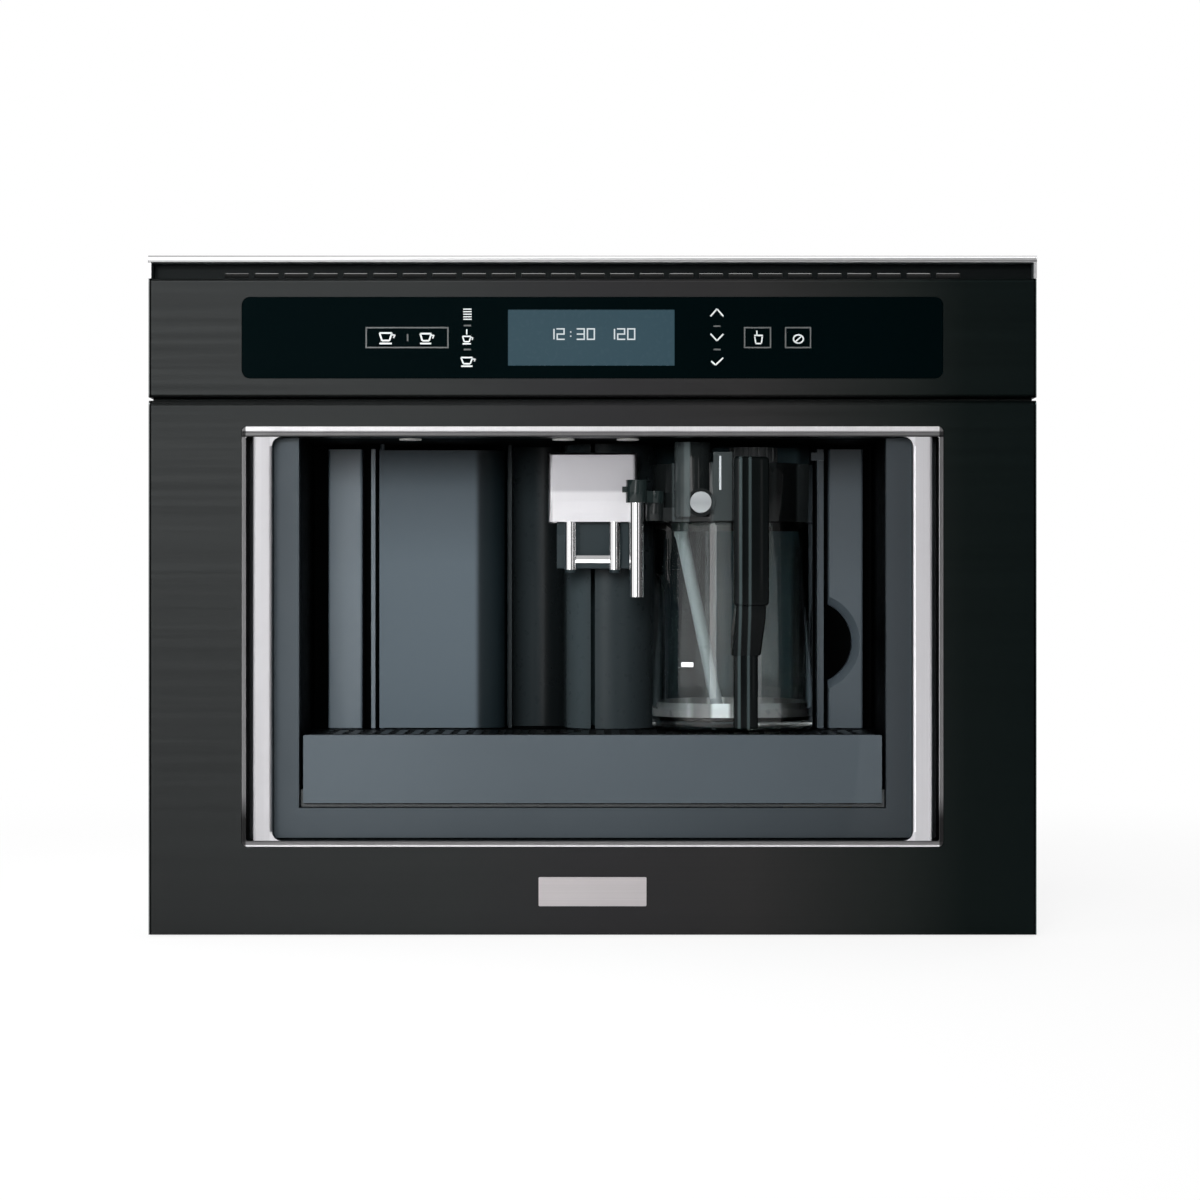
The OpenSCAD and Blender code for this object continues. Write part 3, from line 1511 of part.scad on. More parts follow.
// Handle: a grip, an arm to the collar at its top, a slanted return, and a rib down the glass
module carafe_handle() {
    front = -grip_reach;
    back = grip_t - grip_reach;
    top = lid_z + 43;
    foot = carafe_z + 86;
    rib_top = carafe_z + 66;
    rib_out = -carafe_r - 5;
    color("black")
        difference() {
            translate([carafe_x, yd(carafe_d), 0])
                rotate([0, 0, handle_turn])
                    union() {
                        translate([0, 0, foot])
                            linear_extrude(height = top - foot)
                                round_rect([-grip_w / 2, grip_w / 2], [front, back], 4);
                        rotate([90, 0, 90])
                            translate([0, 0, -grip_w / 2 + 2])
                                linear_extrude(height = grip_w - 4) {
                                    polygon([[back - 2, top - 20], [6 - carafe_r, top - 18],
                                        [6 - carafe_r, lid_top], [back - 2, top]]);
                                    polygon([[front + 3, foot + 1], [back, foot + 4],
                                        [-carafe_r - 1, rib_top + 2], [-carafe_r - 1, rib_top - 14],
                                        [rib_out, rib_top - 14], [front + 3, foot - 6]]);
                                }
                        translate([-rib_w / 2, rib_out, carafe_z + 2.5])
                            cube([rib_w, 10, rib_top - carafe_z - 4]);
                    }
            along_z([carafe_z - e, lid_z + lid_h + e])
                oval(carafe_r + fit);
            slab([carafe_x - 30, carafe_x - 1.4], [0, carafe_d], [lid_z - e, tower_top + e]);
        }
}

module milk_intake_tube() {
    foot_x = carafe_x - 9;
    z = [carafe_z + 7, lid_z - 12];
    lean = foot_x - intake_at[0];
    drop = z[1] - z[0];
    r = 4.2;
    color("white") {
        post(intake_at, [z[1], lid_z - 1.5 - fit], r);
        translate([intake_at[0], yd(intake_at[1]), z[1]]) {
            sphere(r = r + 0.6);
            rotate([0, atan2(lean, -drop), 0])
                cylinder(r = r, h = norm([lean, drop]));
        }
    }
}

module milk_spout_arm() {
    color("black") {
        difference() {
            union() {
                post(milk_at, arm_z, 7.5);
                post(milk_pivot, [arm_z[0], arm_z[0] + 8], 6.5);
                along_z([arm_z[0], arm_z[0] + 8])
                    polygon([[milk_at[0] + 1, milk_at[1] - 5], [milk_pivot[0], milk_pivot[1] - 6],
                        [milk_pivot[0], milk_pivot[1] + 6], [milk_at[0] - 2, milk_at[1] + 6]]);
                post(milk_pivot, [milk_z - 9.5, arm_z[0] + 1], 3);
                slab([milk_at[0] - 10, milk_at[0]], [milk_at[1] - 3, milk_at[1] + 3],
                    [arm_z[0] + 7, arm_z[0] + 11]);
            }
            post(milk_at, [arm_z[0] - e, arm_z[0] + 6], milk_r + fit);
        }
    }
}

module milk_spout_tube() {
    z = [arm_z[0] + 5.5 - milk_len, arm_z[0] + 5.5];
    color("silver")
        difference() {
            post(milk_at, z, milk_r);
            post(milk_at, [z[0] - e, z[1] + e], milk_bore);
        }
}

module clean_button() {
    color("white") {
        rod_y(button_at, [button_d, button_d + button_head], button_r);
        rod_y(button_at, [button_d + 5, button_d + 13.5], 4);
    }
}

module froth_dial() {
    z = [lid_top + clear, tower_top - 1];
    color("dimgray") {
        difference() {
            post(dial_at, z, dial_r);
            for (n = [0 : 17])
                post([dial_at[0] + (dial_r + 0.6) * cos(n * 20), dial_at[1] + (dial_r + 0.6) * sin(n * 20)],
                    [z[0] + 3, z[1] + e], 1.4);
        }
        post(dial_at, [lid_top - 6, z[0] + 1], 3);
    }
}

// Water tank with its hinged lid
module water_tank() {
    x = [tank_x - tank_w / 2, tank_x + tank_w / 2];
    color("lightcyan") {
        difference() {
            union() {
                along_z([tank_z, tank_top])
                    round_rect(x, tank_d, tank_r);
                post(valve_at, [tank_z - 9, tank_z + 1], valve_r);
            }
            along_z([tank_z + tank_t, tank_top + e])
                round_rect([x[0] + tank_t, x[1] - tank_t], [tank_d[0] + tank_t, tank_axis - 4],
                    tank_r - tank_t);
            post(valve_at, [tank_z - 10, tank_z + 4], 3);
        }
        lugs(tank_barrel, tank_axis, tank_top);
    }
}

module tank_lid() {
    x = [tank_x - tank_w / 2 + 1, tank_x + tank_w / 2 - 1];
    color("dimgray") {
        along_z([tank_top + clear, tank_top + clear + lid_plate])
            round_rect(x, [tank_d[0] + 1, tank_axis - 3.2], 5);
        along_z([tank_top + clear, tank_top + clear + lid_plate])
            rect(tank_barrel, [tank_axis - 6, tank_axis]);
        barrel(tank_barrel, tank_axis, tank_top);
        slab([tank_x - 14, tank_x + 14], [tank_d[0] + 8, tank_d[0] + 11], [tank_top + 2, tank_top + 8]);
    }
}

module hinged_lid(x, front, axis, hinge) {
    z = [cover_z + clear, cover_z + clear + lid_plate];
    along_z(z)
        round_rect(x, [front, axis - 3.2], 4);
    along_z(z)
        rect(hinge, [axis - 6, axis]);
    barrel(hinge, axis, cover_z);
}

module bean_lid() {
    color("dimgray")
        hinged_lid([hopper_x[0] - 4, hopper_x[1] + 4], hopper_d[0] - 4, bean_axis, bean_barrel);
}

module ground_lid() {
    color("dimgray")
        hinged_lid([funnel_x[0] - 5, funnel_x[1] + 5], funnel_d[0] - 5, ground_axis, ground_barrel);
}

module grind_knob() {
    z = cover_z + clear;
    color("black") {
        difference() {
            post(knob_at, [z, z + 5], knob_r);
            for (n = [0 : 11])
                post([knob_at[0] + (knob_r + 1) * cos(n * 30), knob_at[1] + (knob_r + 1) * sin(n * 30)],
                    [z + 1, z + 5 + e], 2.2);
        }
        post(knob_at, [cover_z - 14, z + 1], 6);
    }
}

cabinet_rails();
middle_rails();
rail_balls();
machine_rails();
base_pan();
side_panel_left();
side_panel_right();
rear_panel();
top_cover();
front_frame();
top_trim();
control_fascia();
control_glass();
display_screen();
lower_fascia();
nameplate();
bezel_frame();
grip_bars();
niche_surround();
niche_shell();
back_strips();
column_cover();
tray_bed();
cup_lamps();
steam_connector();
brew_frame();
brew_piston();
grounds_bin();
grinder();
bean_hopper();
ground_funnel();
water_pump();
coffee_boiler();
steam_boiler();
power_board();
hoses();
mains_inlet();
switch_rocker();
cover_screws();
service_door();
drip_pan();
drip_front();
drip_grille();
tray_float();
spout_block();
spout_core();
spout_nozzles();
carafe_glass();
carafe_lid();
carafe_handle();
milk_intake_tube();
milk_spout_arm();
milk_spout_tube();
clean_button();
froth_dial();
water_tank();
tank_lid();
bean_lid();
ground_lid();
grind_knob();
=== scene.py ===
import json
import math

import bmesh
import bpy
import numpy as np
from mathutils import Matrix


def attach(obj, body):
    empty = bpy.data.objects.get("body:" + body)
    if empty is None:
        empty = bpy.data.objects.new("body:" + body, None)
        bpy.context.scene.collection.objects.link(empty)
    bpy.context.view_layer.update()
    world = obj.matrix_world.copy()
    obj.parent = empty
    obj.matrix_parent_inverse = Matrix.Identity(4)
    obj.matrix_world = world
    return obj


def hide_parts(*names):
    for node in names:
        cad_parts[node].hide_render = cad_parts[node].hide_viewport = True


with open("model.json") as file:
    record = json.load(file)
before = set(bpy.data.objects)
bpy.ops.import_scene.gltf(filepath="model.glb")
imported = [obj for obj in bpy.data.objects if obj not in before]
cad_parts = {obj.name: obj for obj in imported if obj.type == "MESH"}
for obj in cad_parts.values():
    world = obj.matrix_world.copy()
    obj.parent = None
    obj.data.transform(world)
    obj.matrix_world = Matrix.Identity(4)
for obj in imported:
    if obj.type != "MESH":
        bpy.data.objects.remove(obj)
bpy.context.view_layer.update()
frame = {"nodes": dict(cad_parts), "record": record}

MM = 0.001
FASCIA_Y = -204 * MM      # front plane of the fascias
CARAFE = (97, 82)         # middle of the carafe: x and depth in mm
CARAFE_FLAT = 5.6         # half the straight part of its oval
GLASS_R = 50              # radius of its round ends, outside
NICHE_FLOOR = 134.3       # height of the carafe's foot


def spot(x, d, z):
    """Places in metres from x, depth behind the front plane and height, each in millimetres and a number or a
    whole array."""
    x, d, z = np.broadcast_arrays(*(np.asarray(v, float) for v in (x, d, z)))
    return np.stack([x * MM, FASCIA_Y + d * MM, z * MM], -1)


# Node trees

MIX_A, MIX_B, MIX_RESULT = 6, 7, 2      # sockets of a Mix node that mixes colours


def feed(tree, socket, value):
    """Links a socket to the one that gives its value, or sets it to a plain value."""
    if isinstance(value, bpy.types.NodeSocket):
        tree.links.new(value, socket)
    else:
        socket.default_value = value


def calculated(tree, operation, *values):
    """The result of one operation on one or two values."""
    node = tree.nodes.new("ShaderNodeMath")
    node.operation = operation
    for socket, value in zip(node.inputs, values):
        feed(tree, socket, value)
    return node.outputs[0]


def eased(tree, value, low, high, at_low=0, at_high=1):
    """A number that goes softly from one end to the other while the value goes from low to high."""
    node = tree.nodes.new("ShaderNodeMapRange")
    node.interpolation_type = "SMOOTHSTEP"
    for name, number in zip(("From Min", "From Max", "To Min", "To Max"), (low, high, at_low, at_high)):
        node.inputs[name].default_value = number
    tree.links.new(value, node.inputs["Value"])
    return node.outputs["Result"]


def split_axes(tree, vector):
    """The X, Y and Z of a vector."""
    node = tree.nodes.new("ShaderNodeSeparateXYZ")
    tree.links.new(vector, node.inputs[0])
    return node.outputs


# Camera, light and floor

CAMERA_AT = (0.005, -2.304, 0.2243)
SENSOR, LENS = 36, 94.1                 # in mm
CLIP = (0.05, 60)


def aim(thing, target):
    """Turns a camera or a lamp so that its -Z axis points at the target."""
    way = np.array(target, float) - np.array(thing.location, float)
    thing.rotation_euler = (math.atan2(math.hypot(way[0], way[1]), -way[2]), 0, math.atan2(-way[0], way[1]))


def set_camera():
    """A camera square to the front, as in the photograph."""
    camera = bpy.data.objects.new("photo_camera", bpy.data.cameras.new("photo_camera"))
    bpy.context.collection.objects.link(camera)
    camera.location = CAMERA_AT
    camera.rotation_euler = (math.pi / 2, 0, 0)
    camera.data.sensor_width = SENSOR
    camera.data.lens = LENS
    camera.data.clip_start, camera.data.clip_end = CLIP
    bpy.context.scene.camera = camera


def softbox(name, place, target, size, power, mirrored=True, spread=180):
    """A rectangular lamp that the camera doesn't see. Mirrored, it shows in polished surfaces. A narrow
    spread, in degrees, is that of a lamp with a grid in front of it."""
    data = bpy.data.lights.new(name, "AREA")
    data.shape = "RECTANGLE"
    data.size, data.size_y = size
    data.energy = power
    data.spread = math.radians(spread)
    lamp = bpy.data.objects.new(name, data)
    bpy.context.collection.objects.link(lamp)
    lamp.location = place
    lamp.visible_camera = False
    lamp.visible_glossy = mirrored
    aim(lamp, target)


# From where to where along a direction's X the studio's light falls off, and its strength at both ends: as
# mirrored, and on matt surfaces. Then along its Y: how it gives way to white behind the object.
STUDIO_FALL = (-0.16, 0.13, 0.95, 0.16)
AMBIENT_FALL = (-1, 1, 0.3, 0.14)
REAR_RISE = (0.0, 0.3, 0, 1)


def light_world():
    """White for the camera, and behind the object for mirrors and glass. In front of it a dim studio,
    brighter at its left side, and for matt surfaces an even light that falls off to the right."""
    world = bpy.data.worlds.new("studio")
    bpy.context.scene.world = world
    world.use_nodes = True
    tree = world.node_tree
    background = tree.nodes["Background"]
    background.inputs["Color"].default_value = (1, 1, 1, 1)
    way = split_axes(tree, tree.nodes.new("ShaderNodeTexCoord").outputs["Generated"])
    rays = tree.nodes.new("ShaderNodeLightPath").outputs

    def either(share, when_no, when_yes):
        mix = tree.nodes.new("ShaderNodeMix")
        feed(tree, mix.inputs["Factor"], share)
        feed(tree, mix.inputs[2], when_no)
        feed(tree, mix.inputs[3], when_yes)
        return mix.outputs[0]

    mirrored = either(eased(tree, way["Y"], *REAR_RISE), eased(tree, way["X"], *STUDIO_FALL), 1)
    soft = eased(tree, way["X"], *AMBIENT_FALL)
    shiny = calculated(tree, "MAXIMUM", rays["Is Glossy Ray"], rays["Is Transmission Ray"])
    lit = either(shiny, soft, mirrored)
    tree.links.new(either(rays["Is Camera Ray"], lit, 1), background.inputs["Strength"])


FLOOR_HALF, FLOOR_Z = 5.0, -0.001
# How far from the object the floor turns to white for the camera, and how much of it is white at both ends
FLOOR_FADE = (0.4, 1.4, 0.8, 1.0)


def lay_floor():
    """A pale floor: white where the camera sees it, darker in the object's shadow, not seen from below."""
    mesh = bpy.data.meshes.new("floor")
    corners = [(x * FLOOR_HALF, y * FLOOR_HALF, FLOOR_Z) for x, y in ((-1, -1), (1, -1), (1, 1), (-1, 1))]
    mesh.from_pydata(corners, [], [(0, 1, 2, 3)])
    floor = bpy.data.objects.new("floor", mesh)
    bpy.context.collection.objects.link(floor)
    paint = bpy.data.materials.new("pale_floor")
    paint.use_nodes = True
    tree = paint.node_tree
    matt = tree.nodes["Principled BSDF"]
    for name, value in (("Base Color", (0.8, 0.8, 0.8, 1)), ("Roughness", 0.9), ("Specular IOR Level", 0.1)):
        matt.inputs[name].default_value = value
    glow = tree.nodes.new("ShaderNodeEmission")
    glow.inputs["Strength"].default_value = 1
    away = tree.nodes.new("ShaderNodeVectorMath")
    away.operation = "LENGTH"
    tree.links.new(tree.nodes.new("ShaderNodeTexCoord").outputs["Object"], away.inputs[0])
    seen = tree.nodes.new("ShaderNodeLightPath").outputs["Is Camera Ray"]
    white = calculated(tree, "MULTIPLY", seen, eased(tree, away.outputs["Value"], *FLOOR_FADE))

    def either(share, when_no, when_yes):
        mix = tree.nodes.new("ShaderNodeMixShader")
        for socket, value in zip(mix.inputs, (share, when_no, when_yes)):
            tree.links.new(value, socket)
        return mix.outputs[0]

    above = either(white, matt.outputs[0], glow.outputs[0])
    from_below = tree.nodes.new("ShaderNodeNewGeometry").outputs["Backfacing"]
    clear = tree.nodes.new("ShaderNodeBsdfTransparent").outputs[0]
    tree.links.new(either(from_below, above, clear), tree.nodes["Material Output"].inputs["Surface"])
    mesh.materials.append(paint)


bpy.context.scene.view_settings.view_transform = "Standard"
set_camera()
light_world()
lay_floor()
softbox("strip_left", (-0.72, -2.35, 0.5), (-0.1, -0.1, 0.2), (0.45, 2.0), 11)
softbox("strip_right", (1.05, -1.9, 0.35), (0.05, -0.1, 0.22), (0.2, 1.6), 1.8)
softbox("key_left", (-1.15, -1.5, 0.7), (0, -0.1, 0.2), (0.9, 0.9), 9, mirrored=False)
softbox("fill_front", (-0.45, -3.0, 0.75), (-0.45, -0.1, 0.2), (1.0, 0.8), 22, mirrored=False, spread=50)
softbox("top_light", (0.0, 0.1, 2.4), (0, 0, 0.3), (2.2, 1.6), 22)
softbox("rear_light", (0.9, 2.4, 1.3), (0, 0.2, 0.2), (1.8, 1.4), 26)


# Finishes

class Finish:
    """A material whose patterns are read from the piece's own coordinates, in metres."""

    def __init__(self, name, colour, rough, metal=0.0, **sockets):
        self.material = bpy.data.materials.new(name)
        self.material.use_nodes = True
        self.tree = self.material.node_tree
        self.nodes, self.links = self.tree.nodes, self.tree.links
        self.shader = self.nodes["Principled BSDF"]
        self.set("Base Color", (*colour, 1))
        self.set("Roughness", rough)
        self.set("Metallic", metal)
        for socket, value in sockets.items():
            self.set(socket.replace("_", " "), value)
        self.place = self.nodes.new("ShaderNodeTexCoord").outputs["Object"]

    def set(self, socket, value):
        """Gives one of the shader's sockets a plain value."""
        self.shader.inputs[socket].default_value = value

    def pattern(self, stretch, detail=3.0, kind="ShaderNodeTexNoise", output=0):
        """A texture repeated so many times a metre along X, Y and Z."""
        spread = self.nodes.new("ShaderNodeMapping")
        spread.inputs["Scale"].default_value = stretch
        self.links.new(self.place, spread.inputs["Vector"])
        texture = self.nodes.new(kind)
        self.links.new(spread.outputs[0], texture.inputs["Vector"])
        if "Scale" in texture.inputs:
            texture.inputs["Scale"].default_value = 1
        if "Detail" in texture.inputs:
            texture.inputs["Detail"].default_value = detail
        return texture.outputs[output]

    def along(self, axis, low, high):
        """0 to 1 between two places on one axis, in metres."""
        return eased(self.tree, split_axes(self.tree, self.place)[axis], low, high)

    def tint(self, share, low, high, socket="Base Color", start=0.0, end=1.0):
        """Colours from low to high as the share goes from start to end."""
        ramp = self.nodes.new("ShaderNodeValToRGB")
        ramp.color_ramp.elements[0].position = start
        ramp.color_ramp.elements[1].position = end
        ramp.color_ramp.elements[0].color = (*low, 1)
        ramp.color_ramp.elements[1].color = (*high, 1)
        self.links.new(share, ramp.inputs[0])
        self.links.new(ramp.outputs[0], self.shader.inputs[socket])

    def over(self, share, colour, blend="MIX"):
        """Mixes a colour with the one so far, by the share."""
        mix = self.nodes.new("ShaderNodeMix")
        mix.data_type = "RGBA"
        mix.blend_type = blend
        base = self.shader.inputs["Base Color"]
        feed(self.tree, mix.inputs[0], share)
        feed(self.tree, mix.inputs[MIX_A], base.links[0].from_socket)
        feed(self.tree, mix.inputs[MIX_B], colour)
        self.links.new(mix.outputs[MIX_RESULT], base)

    def cover(self, share, colour):
        """Lays another colour over the one so far, by the share."""
        self.over(share, (*colour, 1))

    def fall(self, axis, stops, both=False):
        """Darkens the colour along an axis by factors on straight lines between (place in mm, factor) stops.
        A factor is one number, or one for each of red, green and blue. With both, the places are distances to
        either side of the middle. All stops together are kept as 256 steps, so a narrow line of tone is a
        fall of its own."""
        at = split_axes(self.tree, self.place)[axis]
        if both:
            at = calculated(self.tree, "ABSOLUTE", at)
        low, high = stops[0][0], stops[-1][0]
        share = self.nodes.new("ShaderNodeMapRange")
        share.inputs["From Min"].default_value = low * MM
        share.inputs["From Max"].default_value = high * MM
        self.links.new(at, share.inputs["Value"])
        ramp = self.nodes.new("ShaderNodeValToRGB")
        elements = ramp.color_ramp.elements
        while len(elements) < len(stops):
            elements.new(0.5)
        for element, (place, factor) in zip(elements, stops):
            element.position = (place - low) / (high - low)
            element.color = (*(factor if isinstance(factor, tuple) else (factor,) * 3), 1)
        self.links.new(share.outputs["Result"], ramp.inputs[0])
        self.over(1, ramp.outputs[0], "MULTIPLY")

    def all_of(self, one, other):
        """The product of two shares: 1 only where both are."""
        return calculated(self.tree, "MULTIPLY", one, other)

    def roughen(self, share, low, high):
        """Roughness from low to high over the middle of the share, where nearly all of a noise lies."""
        ramp = self.nodes.new("ShaderNodeMapRange")
        for name, number in zip(("From Min", "From Max", "To Min", "To Max"), (0.3, 0.7, low, high)):
            ramp.inputs[name].default_value = number
        self.links.new(share, ramp.inputs["Value"])
        self.links.new(ramp.outputs[0], self.shader.inputs["Roughness"])

    def relief(self, share, height, strength=1.0):
        """Bumps of a height in metres."""
        bump = self.nodes.new("ShaderNodeBump")
        bump.inputs["Strength"].default_value = strength
        bump.inputs["Distance"].default_value = height
        self.links.new(share, bump.inputs["Height"])
        self.links.new(bump.outputs[0], self.shader.inputs["Normal"])


def shade(colour, factor):
    """A colour made lighter or darker."""
    return tuple(min(1.0, c * factor) for c in colour)


# Brush lines a metre along X, Y and Z, for lines that run along one of them
BRUSH_LINES = {"X": (5, 2200, 2200), "Z": (2200, 2200, 5)}


def brushed(name, colour, rough, run="X", depth_of_lines=0.000012, contrast=0.18, falls=(), dull=None,
            **sockets):
    """Metal with brush lines along one axis. It is matt behind the depths in dull."""
    f = Finish(name, colour, rough, 1.0, **sockets)
    lines = f.pattern(BRUSH_LINES[run], 5.0)
    broad = f.pattern(tuple(s * 0.12 + 2 for s in BRUSH_LINES[run]), 2.0)
    f.tint(lines, shade(colour, 1 - contrast), shade(colour, 1 + contrast), start=0.3, end=0.7)
    for line in falls:
        f.fall(*line)
    if dull:
        f.tint(f.along("Y", *dull), (1, 1, 1), (0, 0, 0), "Metallic")
    f.roughen(broad, rough - 0.04, rough + 0.04)
    f.relief(lines, depth_of_lines, 0.5)
    return f.material


def coated(name, colour, rough, contrast=0.06, peel=0.00002, falls=(), **sockets):
    """Satin paint with a fine orange peel and the faint cloudiness of a sprayed coat."""
    f = Finish(name, colour, rough, **sockets)
    clouds = f.pattern((9, 9, 9), 3.0)
    grain = f.pattern((1400, 1400, 1400), 2.0)
    f.tint(clouds, shade(colour, 1 - contrast), shade(colour, 1 + contrast), start=0.3, end=0.7)
    for line in falls:
        f.fall(*line)
    f.roughen(f.pattern((160, 160, 160), 2.0), rough - 0.04, rough + 0.05)
    f.relief(grain, peel, 0.35)
    return f.material


def moulded(name, colour, rough, contrast=0.1, grain=0.00004, size=2600):
    """Plastic from an eroded mould: a fine, even grain."""
    f = Finish(name, colour, rough)
    cells = f.pattern((size, size, size), kind="ShaderNodeTexVoronoi")
    f.tint(f.pattern((14, 14, 14), 2.0), shade(colour, 1 - contrast), shade(colour, 1 + contrast),
           start=0.3, end=0.7)
    f.roughen(f.pattern((220, 220, 220), 3.0), rough - 0.05, rough + 0.06)
    f.relief(cells, grain, 0.4)
    return f.material


def glossy(name, colour, rough, contrast=0.1, falls=(), **sockets):
    """Polished plastic or lacquer with a slight wave and a trace of wiping marks."""
    f = Finish(name, colour, rough, **sockets)
    f.tint(f.pattern((6, 6, 6), 2.0), shade(colour, 1 - contrast), shade(colour, 1 + contrast))
    for line in falls:
        f.fall(*line)
    f.roughen(f.pattern((18, 60, 40), 5.0), rough * 0.7, rough * 1.7)
    f.relief(f.pattern((30, 30, 22), 2.0), 0.00006, 0.12)
    return f.material


def polished(name, colour, rough, contrast=0.04):
    """Chrome or bare polished metal."""
    f = Finish(name, colour, rough, 1.0)
    f.tint(f.pattern((40, 40, 40), 3.0), shade(colour, 1 - contrast), shade(colour, 1 + contrast))
    f.roughen(f.pattern((90, 90, 300), 4.0), rough * 0.6, rough * 1.5)
    f.relief(f.pattern((700, 700, 90), 3.0), 0.000006, 0.3)
    return f.material


def clear(name, colour, rough=0.02, ior=1.46, falls=()):
    """Glass or clear plastic."""
    f = Finish(name, colour, rough, IOR=ior, Transmission_Weight=1.0)
    f.tint(f.pattern((12, 12, 12), 2.0), shade(colour, 0.97), shade(colour, 1.02))
    for line in falls:
        f.fall(*line)
    f.roughen(f.pattern((50, 50, 15), 4.0), rough * 0.5, rough * 1.6)
    f.relief(f.pattern((26, 26, 9), 2.0), 0.0001, 0.15)
    return f.material


def galvanised(name, colour, rough):
    """Zinc on sheet steel: flat crystals, each a little lighter or darker than the next."""
    f = Finish(name, colour, rough, 1.0)
    crystals = f.pattern((110, 110, 110), kind="ShaderNodeTexVoronoi", output=1)
    f.tint(crystals, shade(colour, 0.78), shade(colour, 1.15), start=0.15, end=0.85)
    f.roughen(f.pattern((120, 120, 120), 4.0), rough - 0.08, rough + 0.1)
    f.relief(f.pattern((900, 900, 900), 3.0), 0.00001, 0.4)
    return f.material


def cast(name, colour, rough, metal=1.0):
    """Cast metal with the skin of its mould."""
    f = Finish(name, colour, rough, metal)
    f.tint(f.pattern((60, 60, 60), 5.0), shade(colour, 0.8), shade(colour, 1.15), start=0.3, end=0.7)
    f.roughen(f.pattern((200, 200, 200), 3.0), rough - 0.08, rough + 0.12)
    f.relief(f.pattern((850, 850, 850), 4.0), 0.00006, 0.6)
    return f.material


def circuit(name):
    """Solder mask with copper tracks under it."""
    f = Finish(name, (0.02, 0.12, 0.045), 0.35)
    tracks = f.pattern((1, 160, 160), kind="ShaderNodeTexBrick", output=1)
    f.tint(tracks, (0.012, 0.085, 0.03), (0.05, 0.2, 0.07), start=0.4, end=0.6)
    f.roughen(f.pattern((300, 300, 300), 2.0), 0.28, 0.42)
    f.relief(tracks, 0.00004, 0.5)
    return f.material


def lit_display(name):
    """Backlit display, a little lighter towards its left side."""
    f = Finish(name, (0.002, 0.003, 0.004), 0.3, Emission_Strength=1.0, Specular_IOR_Level=0.05)
    f.tint(f.along("X", -60 * MM, 60 * MM), (0.033, 0.068, 0.086), (0.03, 0.064, 0.082), "Emission Color")
    f.roughen(f.pattern((400, 400, 400), 2.0), 0.2, 0.3)
    return f.material


def spout_metal(name):
    """Fine blasted metal, its lower band brightened by a painted reflection, its left edge in the column's
    painted shade.
    """
    f = Finish(name, (0.62, 0.61, 0.64), 0.34, 1.0)
    # painted reflection: the lower band brighter than the upper
    f.tint(f.along("Z", 297.5 * MM, 300.5 * MM), (0.88, 0.87, 0.9), (0.58, 0.57, 0.6))
    # painted shade: the left edge, where the column shades it
    f.fall("X", ((-31, 0.68), (-28.2, 0.68), (-27.4, 1), (31, 1)))
    f.roughen(f.pattern((700, 700, 700), 3.0), 0.28, 0.38)
    f.relief(f.pattern((3000, 3000, 3000), 2.0), 0.000015, 0.4)
    return f.material


# The trim: the heights where its strip ends and the gap begins, and the depths where the gap, its back and
# the slots in the back begin
STRIP_END = (450.45 * MM, 450.35 * MM)
GAP_START = (-202.5 * MM, -201.5 * MM)
GAP_BACK = (-194 * MM, -191 * MM)
GAP_SLOTS = (-188 * MM, -187.5 * MM)


def trim_metal(name):
    """Bright strip in bands of painted light. The gap under it is coated dark, with painted shade deeper in
    and black in its slots.
    """
    f = Finish(name, (0.95, 0.95, 0.96), 0.3, 1.0, Specular_IOR_Level=0.03)
    lines = f.pattern(BRUSH_LINES["X"], 5.0)
    f.tint(lines, (0.93, 0.93, 0.94), (0.97, 0.97, 0.98))
    # painted highlight and shade: bands of tone over the strip's height
    f.fall("Z", ((450, 1), (450.4, 0.5), (451.7, 0.5), (452.2, 1), (453.5, 1), (454, 0.3), (455, 0.3)))
    # painted shade: the strip darker towards its left
    f.fall("X", ((-297, 0.6), (0, 0.95), (297, 1)))
    under = f.along("Z", *STRIP_END)
    inside = f.all_of(under, f.along("Y", *GAP_START))
    f.cover(inside, (0.05, 0.058, 0.06))
    # painted shade: darker at the back of the gap, and black in its slots
    f.cover(f.all_of(under, f.along("Y", *GAP_BACK)), (0.002, 0.0026, 0.0027))
    f.cover(f.all_of(under, f.along("Y", *GAP_SLOTS)), (0.0004, 0.0005, 0.0005))
    f.tint(inside, (1, 1, 1), (0, 0, 0), "Metallic")
    f.relief(lines, 0.00001, 0.4)
    return f.material


DOOR_EDGE = (-84 * MM, -79 * MM)        # where the door's face turns into its rolled right edge


def door_paint(name, colour):
    """Satin paint, with painted shade on the door's rolled edge and towards its top, under the niche's
    ceiling.
    """
    f = Finish(name, colour, 0.5, Specular_IOR_Level=0.12)
    # painted light: the face lighter, and painted shade on the rolled edge
    f.tint(f.along("X", *DOOR_EDGE), shade(colour, 1.25), (0.003, 0.005, 0.006))
    # painted shade: darker towards the top, under the niche's ceiling
    f.fall("Z", ((250, 1), (330, 0.45)))
    f.roughen(f.pattern((160, 160, 160), 2.0), 0.38, 0.48)
    f.relief(f.pattern((1400, 1400, 1400), 2.0), 0.00002, 0.35)
    return f.material


